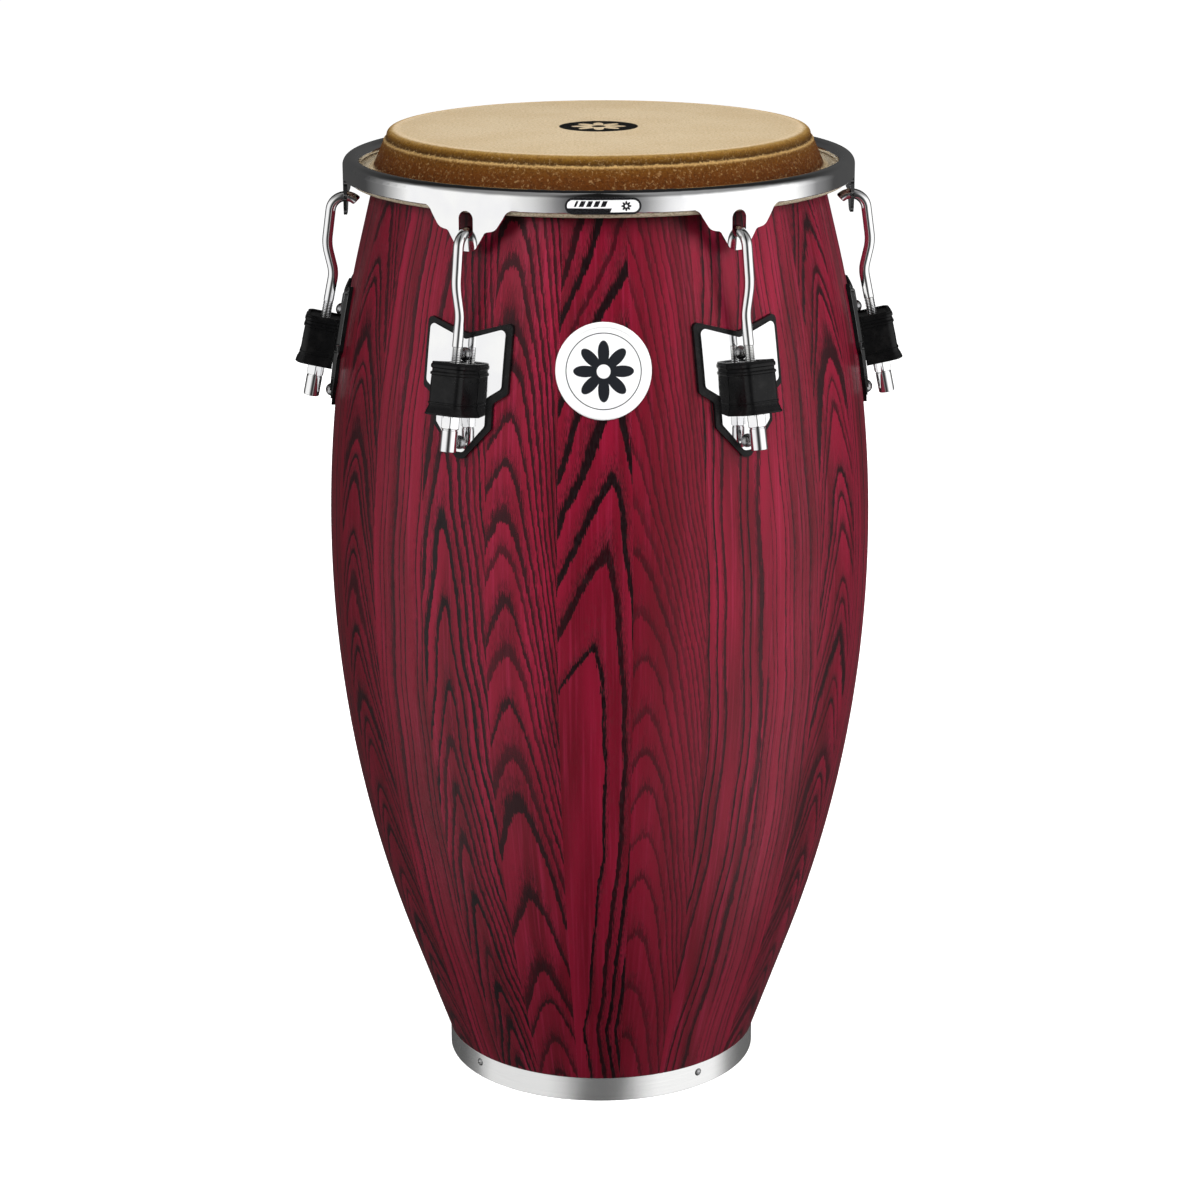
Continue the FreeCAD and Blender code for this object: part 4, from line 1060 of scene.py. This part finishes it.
def make_badge():
    """A round plate bent to the shell, with a raised rim."""

    def place(distance, turn, proud):
        """A point of the plate, and its mark for the material."""
        across = distance * math.cos(turn)
        up = distance * math.sin(turn)
        height = BADGE_HEIGHT + up / TO_MM
        radius = layer_radius(height, proud / TO_MM)
        front = -math.sqrt(radius ** 2 - (across / TO_MM) ** 2)
        return Vector((across / TO_MM, front, height)), (across, up, 0)

    places = [place(0.0, 0.0, BADGE_SHAPE[0][1])]
    for distance, proud in BADGE_SHAPE:
        places += [place(distance, 2 * math.pi * side / BADGE_SIDES, proud)
                   for side in range(BADGE_SIDES)]
    places.append(place(0.0, 0.0, BADGE_SHAPE[-1][1]))
    points, marks = zip(*places)
    piece = new_piece("badge_plate", points, turned_faces(len(BADGE_SHAPE), BADGE_SIDES), "shell",
                      "badge_metal", "badge", smooth=50)
    add_attribute(piece, "badge_place", marks)


def make_label():
    """The oval plate on the front of the hoop, with a raised border."""
    end = arc_points((LABEL_FLAT, 0.0), LABEL_ROUND, -90, 90, 16)
    flat = [(LABEL_FLAT * share / 6, LABEL_ROUND) for share in range(5, -6, -1)]
    edge = end + flat + [(-x, -y) for x, y in end] + [(-x, -y) for x, y in flat]
    rows = LABEL_SHAPE + ((1.0, LABEL_BACK), (0.0, LABEL_BACK))
    points = []
    marks = []
    for share, proud in rows:
        for x, y in edge:
            middle = max(-LABEL_FLAT, min(LABEL_FLAT, x))
            across = middle + (x - middle) * share
            up = y * share
            turn = math.degrees(across / TO_MM / HOOP_RADIUS)
            points.append(around(HOOP_RADIUS + proud / TO_MM, turn, LABEL_HEIGHT + up / TO_MM))
            marks.append((across, up, 0))
    faces = grid_faces(len(rows), len(edge), wrap_columns=True, flip=True)
    piece = new_piece("label_plate", points, faces, "hoop", "label_plate", "hoop_label", smooth=50)
    add_attribute(piece, "label_place", marks)
    weld_middle(piece)


def weld_middle(piece):
    """Joins the points that meet on a plate's middle line."""
    mesh = bmesh.new()
    mesh.from_mesh(piece.data)
    bmesh.ops.remove_doubles(mesh, verts=mesh.verts, dist=WELD)
    bmesh.ops.dissolve_degenerate(mesh, dist=WELD, edges=mesh.edges)
    mesh.to_mesh(piece.data)
    mesh.free()


def make_lugs():
    """What the six stations hold, apart from the CAD pieces that show as they are."""
    path = hook_path()
    for station in range(1, STATIONS + 1):
        make_hook(station, path)
        make_nut(station)
        make_boot(station)


def dress_cad_nodes():
    """Gives every CAD node its material, and evens the shading of the two rolled rings."""
    for part in frame["record"]["subparts"]:
        name = "satin" if part["node"] == "base_ring" else part["material_slot"]
        node = frame["nodes"][part["node"]]
        node.data.materials.clear()
        node.data.materials.append(MATERIALS[name])
    for name in ("hoop", "base_ring"):
        even = frame["nodes"][name].modifiers.new("even_normals", "WEIGHTED_NORMAL")
        even.keep_sharp = True


# The studio.

# How bright the mirrored studio is, by the angle in degrees from straight in front.
STUDIO_LEVELS = ((0, 0.03), (12, 0.06), (20, 0.28), (30, 0.72), (42, 1.0), (94, 1.0),
                 (112, 0.22), (128, 0.06), (180, 0.06))
CAMERA_DISTANCE = 2.388
CAMERA_HEIGHT = 1.082
CAMERA_AZIMUTH = -0.9
CAMERA_PITCH = 16.35
CAMERA_ROLL = -0.173
CAMERA_LENS = 92.7
FLOOR_HALF = 25.0


def make_camera():
    """A long lens a little above the head."""
    data = bpy.data.cameras.new("camera")
    data.lens = CAMERA_LENS
    camera = placed("camera", data)
    place = Matrix.Translation(around(CAMERA_DISTANCE, CAMERA_AZIMUTH, CAMERA_HEIGHT))
    camera.matrix_world = (place @ Matrix.Rotation(math.radians(CAMERA_AZIMUTH), 4, "Z")
                           @ Matrix.Rotation(math.radians(90 - CAMERA_PITCH), 4, "X")
                           @ Matrix.Rotation(math.radians(CAMERA_ROLL), 4, "Z"))
    bpy.context.scene.camera = camera


def make_floor():
    """A wide white floor: bright to look at, with a soft shadow, and dimmer as a light."""
    mesh = bpy.data.meshes.new("floor")
    corners = [(x * FLOOR_HALF, y * FLOOR_HALF, 0) for x, y in ((-1, -1), (1, -1), (1, 1), (-1, 1))]
    mesh.from_pydata(corners, [], [(0, 1, 2, 3)])
    floor = placed("floor", mesh)
    s = Shader("pale_floor")
    mesh.materials.append(s.finish(
        Base_Color=grey(0.70), Roughness=0.95, Specular_IOR_Level=0.0,
        Emission_Color=grey(1), Emission_Strength=0.86))
    dim = s.node("ShaderNodeBsdfDiffuse", {"Color": grey(0.25)})
    s.lit_by_ray(s.surface.outputs[0], dim, "Material Output")
    floor.visible_glossy = False


def make_world():
    """A white ground to look at, and a studio to mirror that is bright at the sides only."""
    world = bpy.data.worlds.new("studio")
    bpy.context.scene.world = world
    world.use_nodes = True
    s = Nodes(world.node_tree)
    across, along, up = s.split(s.node("ShaderNodeTexCoord", output="Generated"))
    turn = s.math("ARCTAN2", s.math("ABSOLUTE", across), s.times(along, -1.0))
    level = s.stops(s.over(turn, math.pi), [
        (degrees / 180, grey(bright)) for degrees, bright in STUDIO_LEVELS])
    ceiling = s.times(s.ramp(up, 0.25, 0.75, 1.0, 0.25), s.ramp(up, -0.85, -0.55, 0.12, 1.0))
    side = s.ramp(across, -0.3, 0.3, 0.98, 1.22)
    shade = s.node("ShaderNodeCombineXYZ", (s.times(ceiling, side),) * 3)
    pattern = s.scaled(level, shade)
    mirrored = s.node("ShaderNodeLightPath", output="Is Glossy Ray")
    background = s.tree.nodes["Background"]
    s.put(background.inputs["Color"], s.mix(mirrored, grey(0.24), pattern))
    plain = s.node("ShaderNodeBackground", {"Color": grey(1)})
    s.lit_by_ray(plain, background.outputs[0], "World Output")


def add_softbox(name, azimuth, height, distance, width, tall, power):
    """A soft rectangular light aimed at the middle of the drum."""
    data = bpy.data.lights.new(name, "AREA")
    data.shape = "RECTANGLE"
    data.size = width
    data.size_y = tall
    data.energy = power
    lamp = placed(name, data)
    lamp.location = around(distance, azimuth, height)
    aim = Vector((0, 0, BELLY_HEIGHT)) - lamp.location
    lamp.rotation_euler = aim.to_track_quat("-Z", "Y").to_euler()
    lamp.visible_glossy = False


def make_lights():
    """Soft light that doesn't mirror in the drum: the world's bright sides do that."""
    add_softbox("left_softbox", -38, 1.7, 2.3, 0.8, 1.2, 54)
    add_softbox("right_softbox", 50, 1.6, 2.3, 0.8, 1.4, 60)
    add_softbox("overhead", 0, 2.6, 0.7, 1.4, 1.4, 12)
    add_softbox("rear_left", -160, 1.6, 2.4, 1.2, 1.6, 26)
    add_softbox("rear_right", 132, 1.6, 2.4, 1.2, 1.6, 26)


bpy.context.scene.view_settings.view_transform = "Standard"
make_camera()
dress_cad_nodes()
make_staves()
make_hide()
make_lugs()
make_badge()
make_label()
make_floor()
make_world()
make_lights()
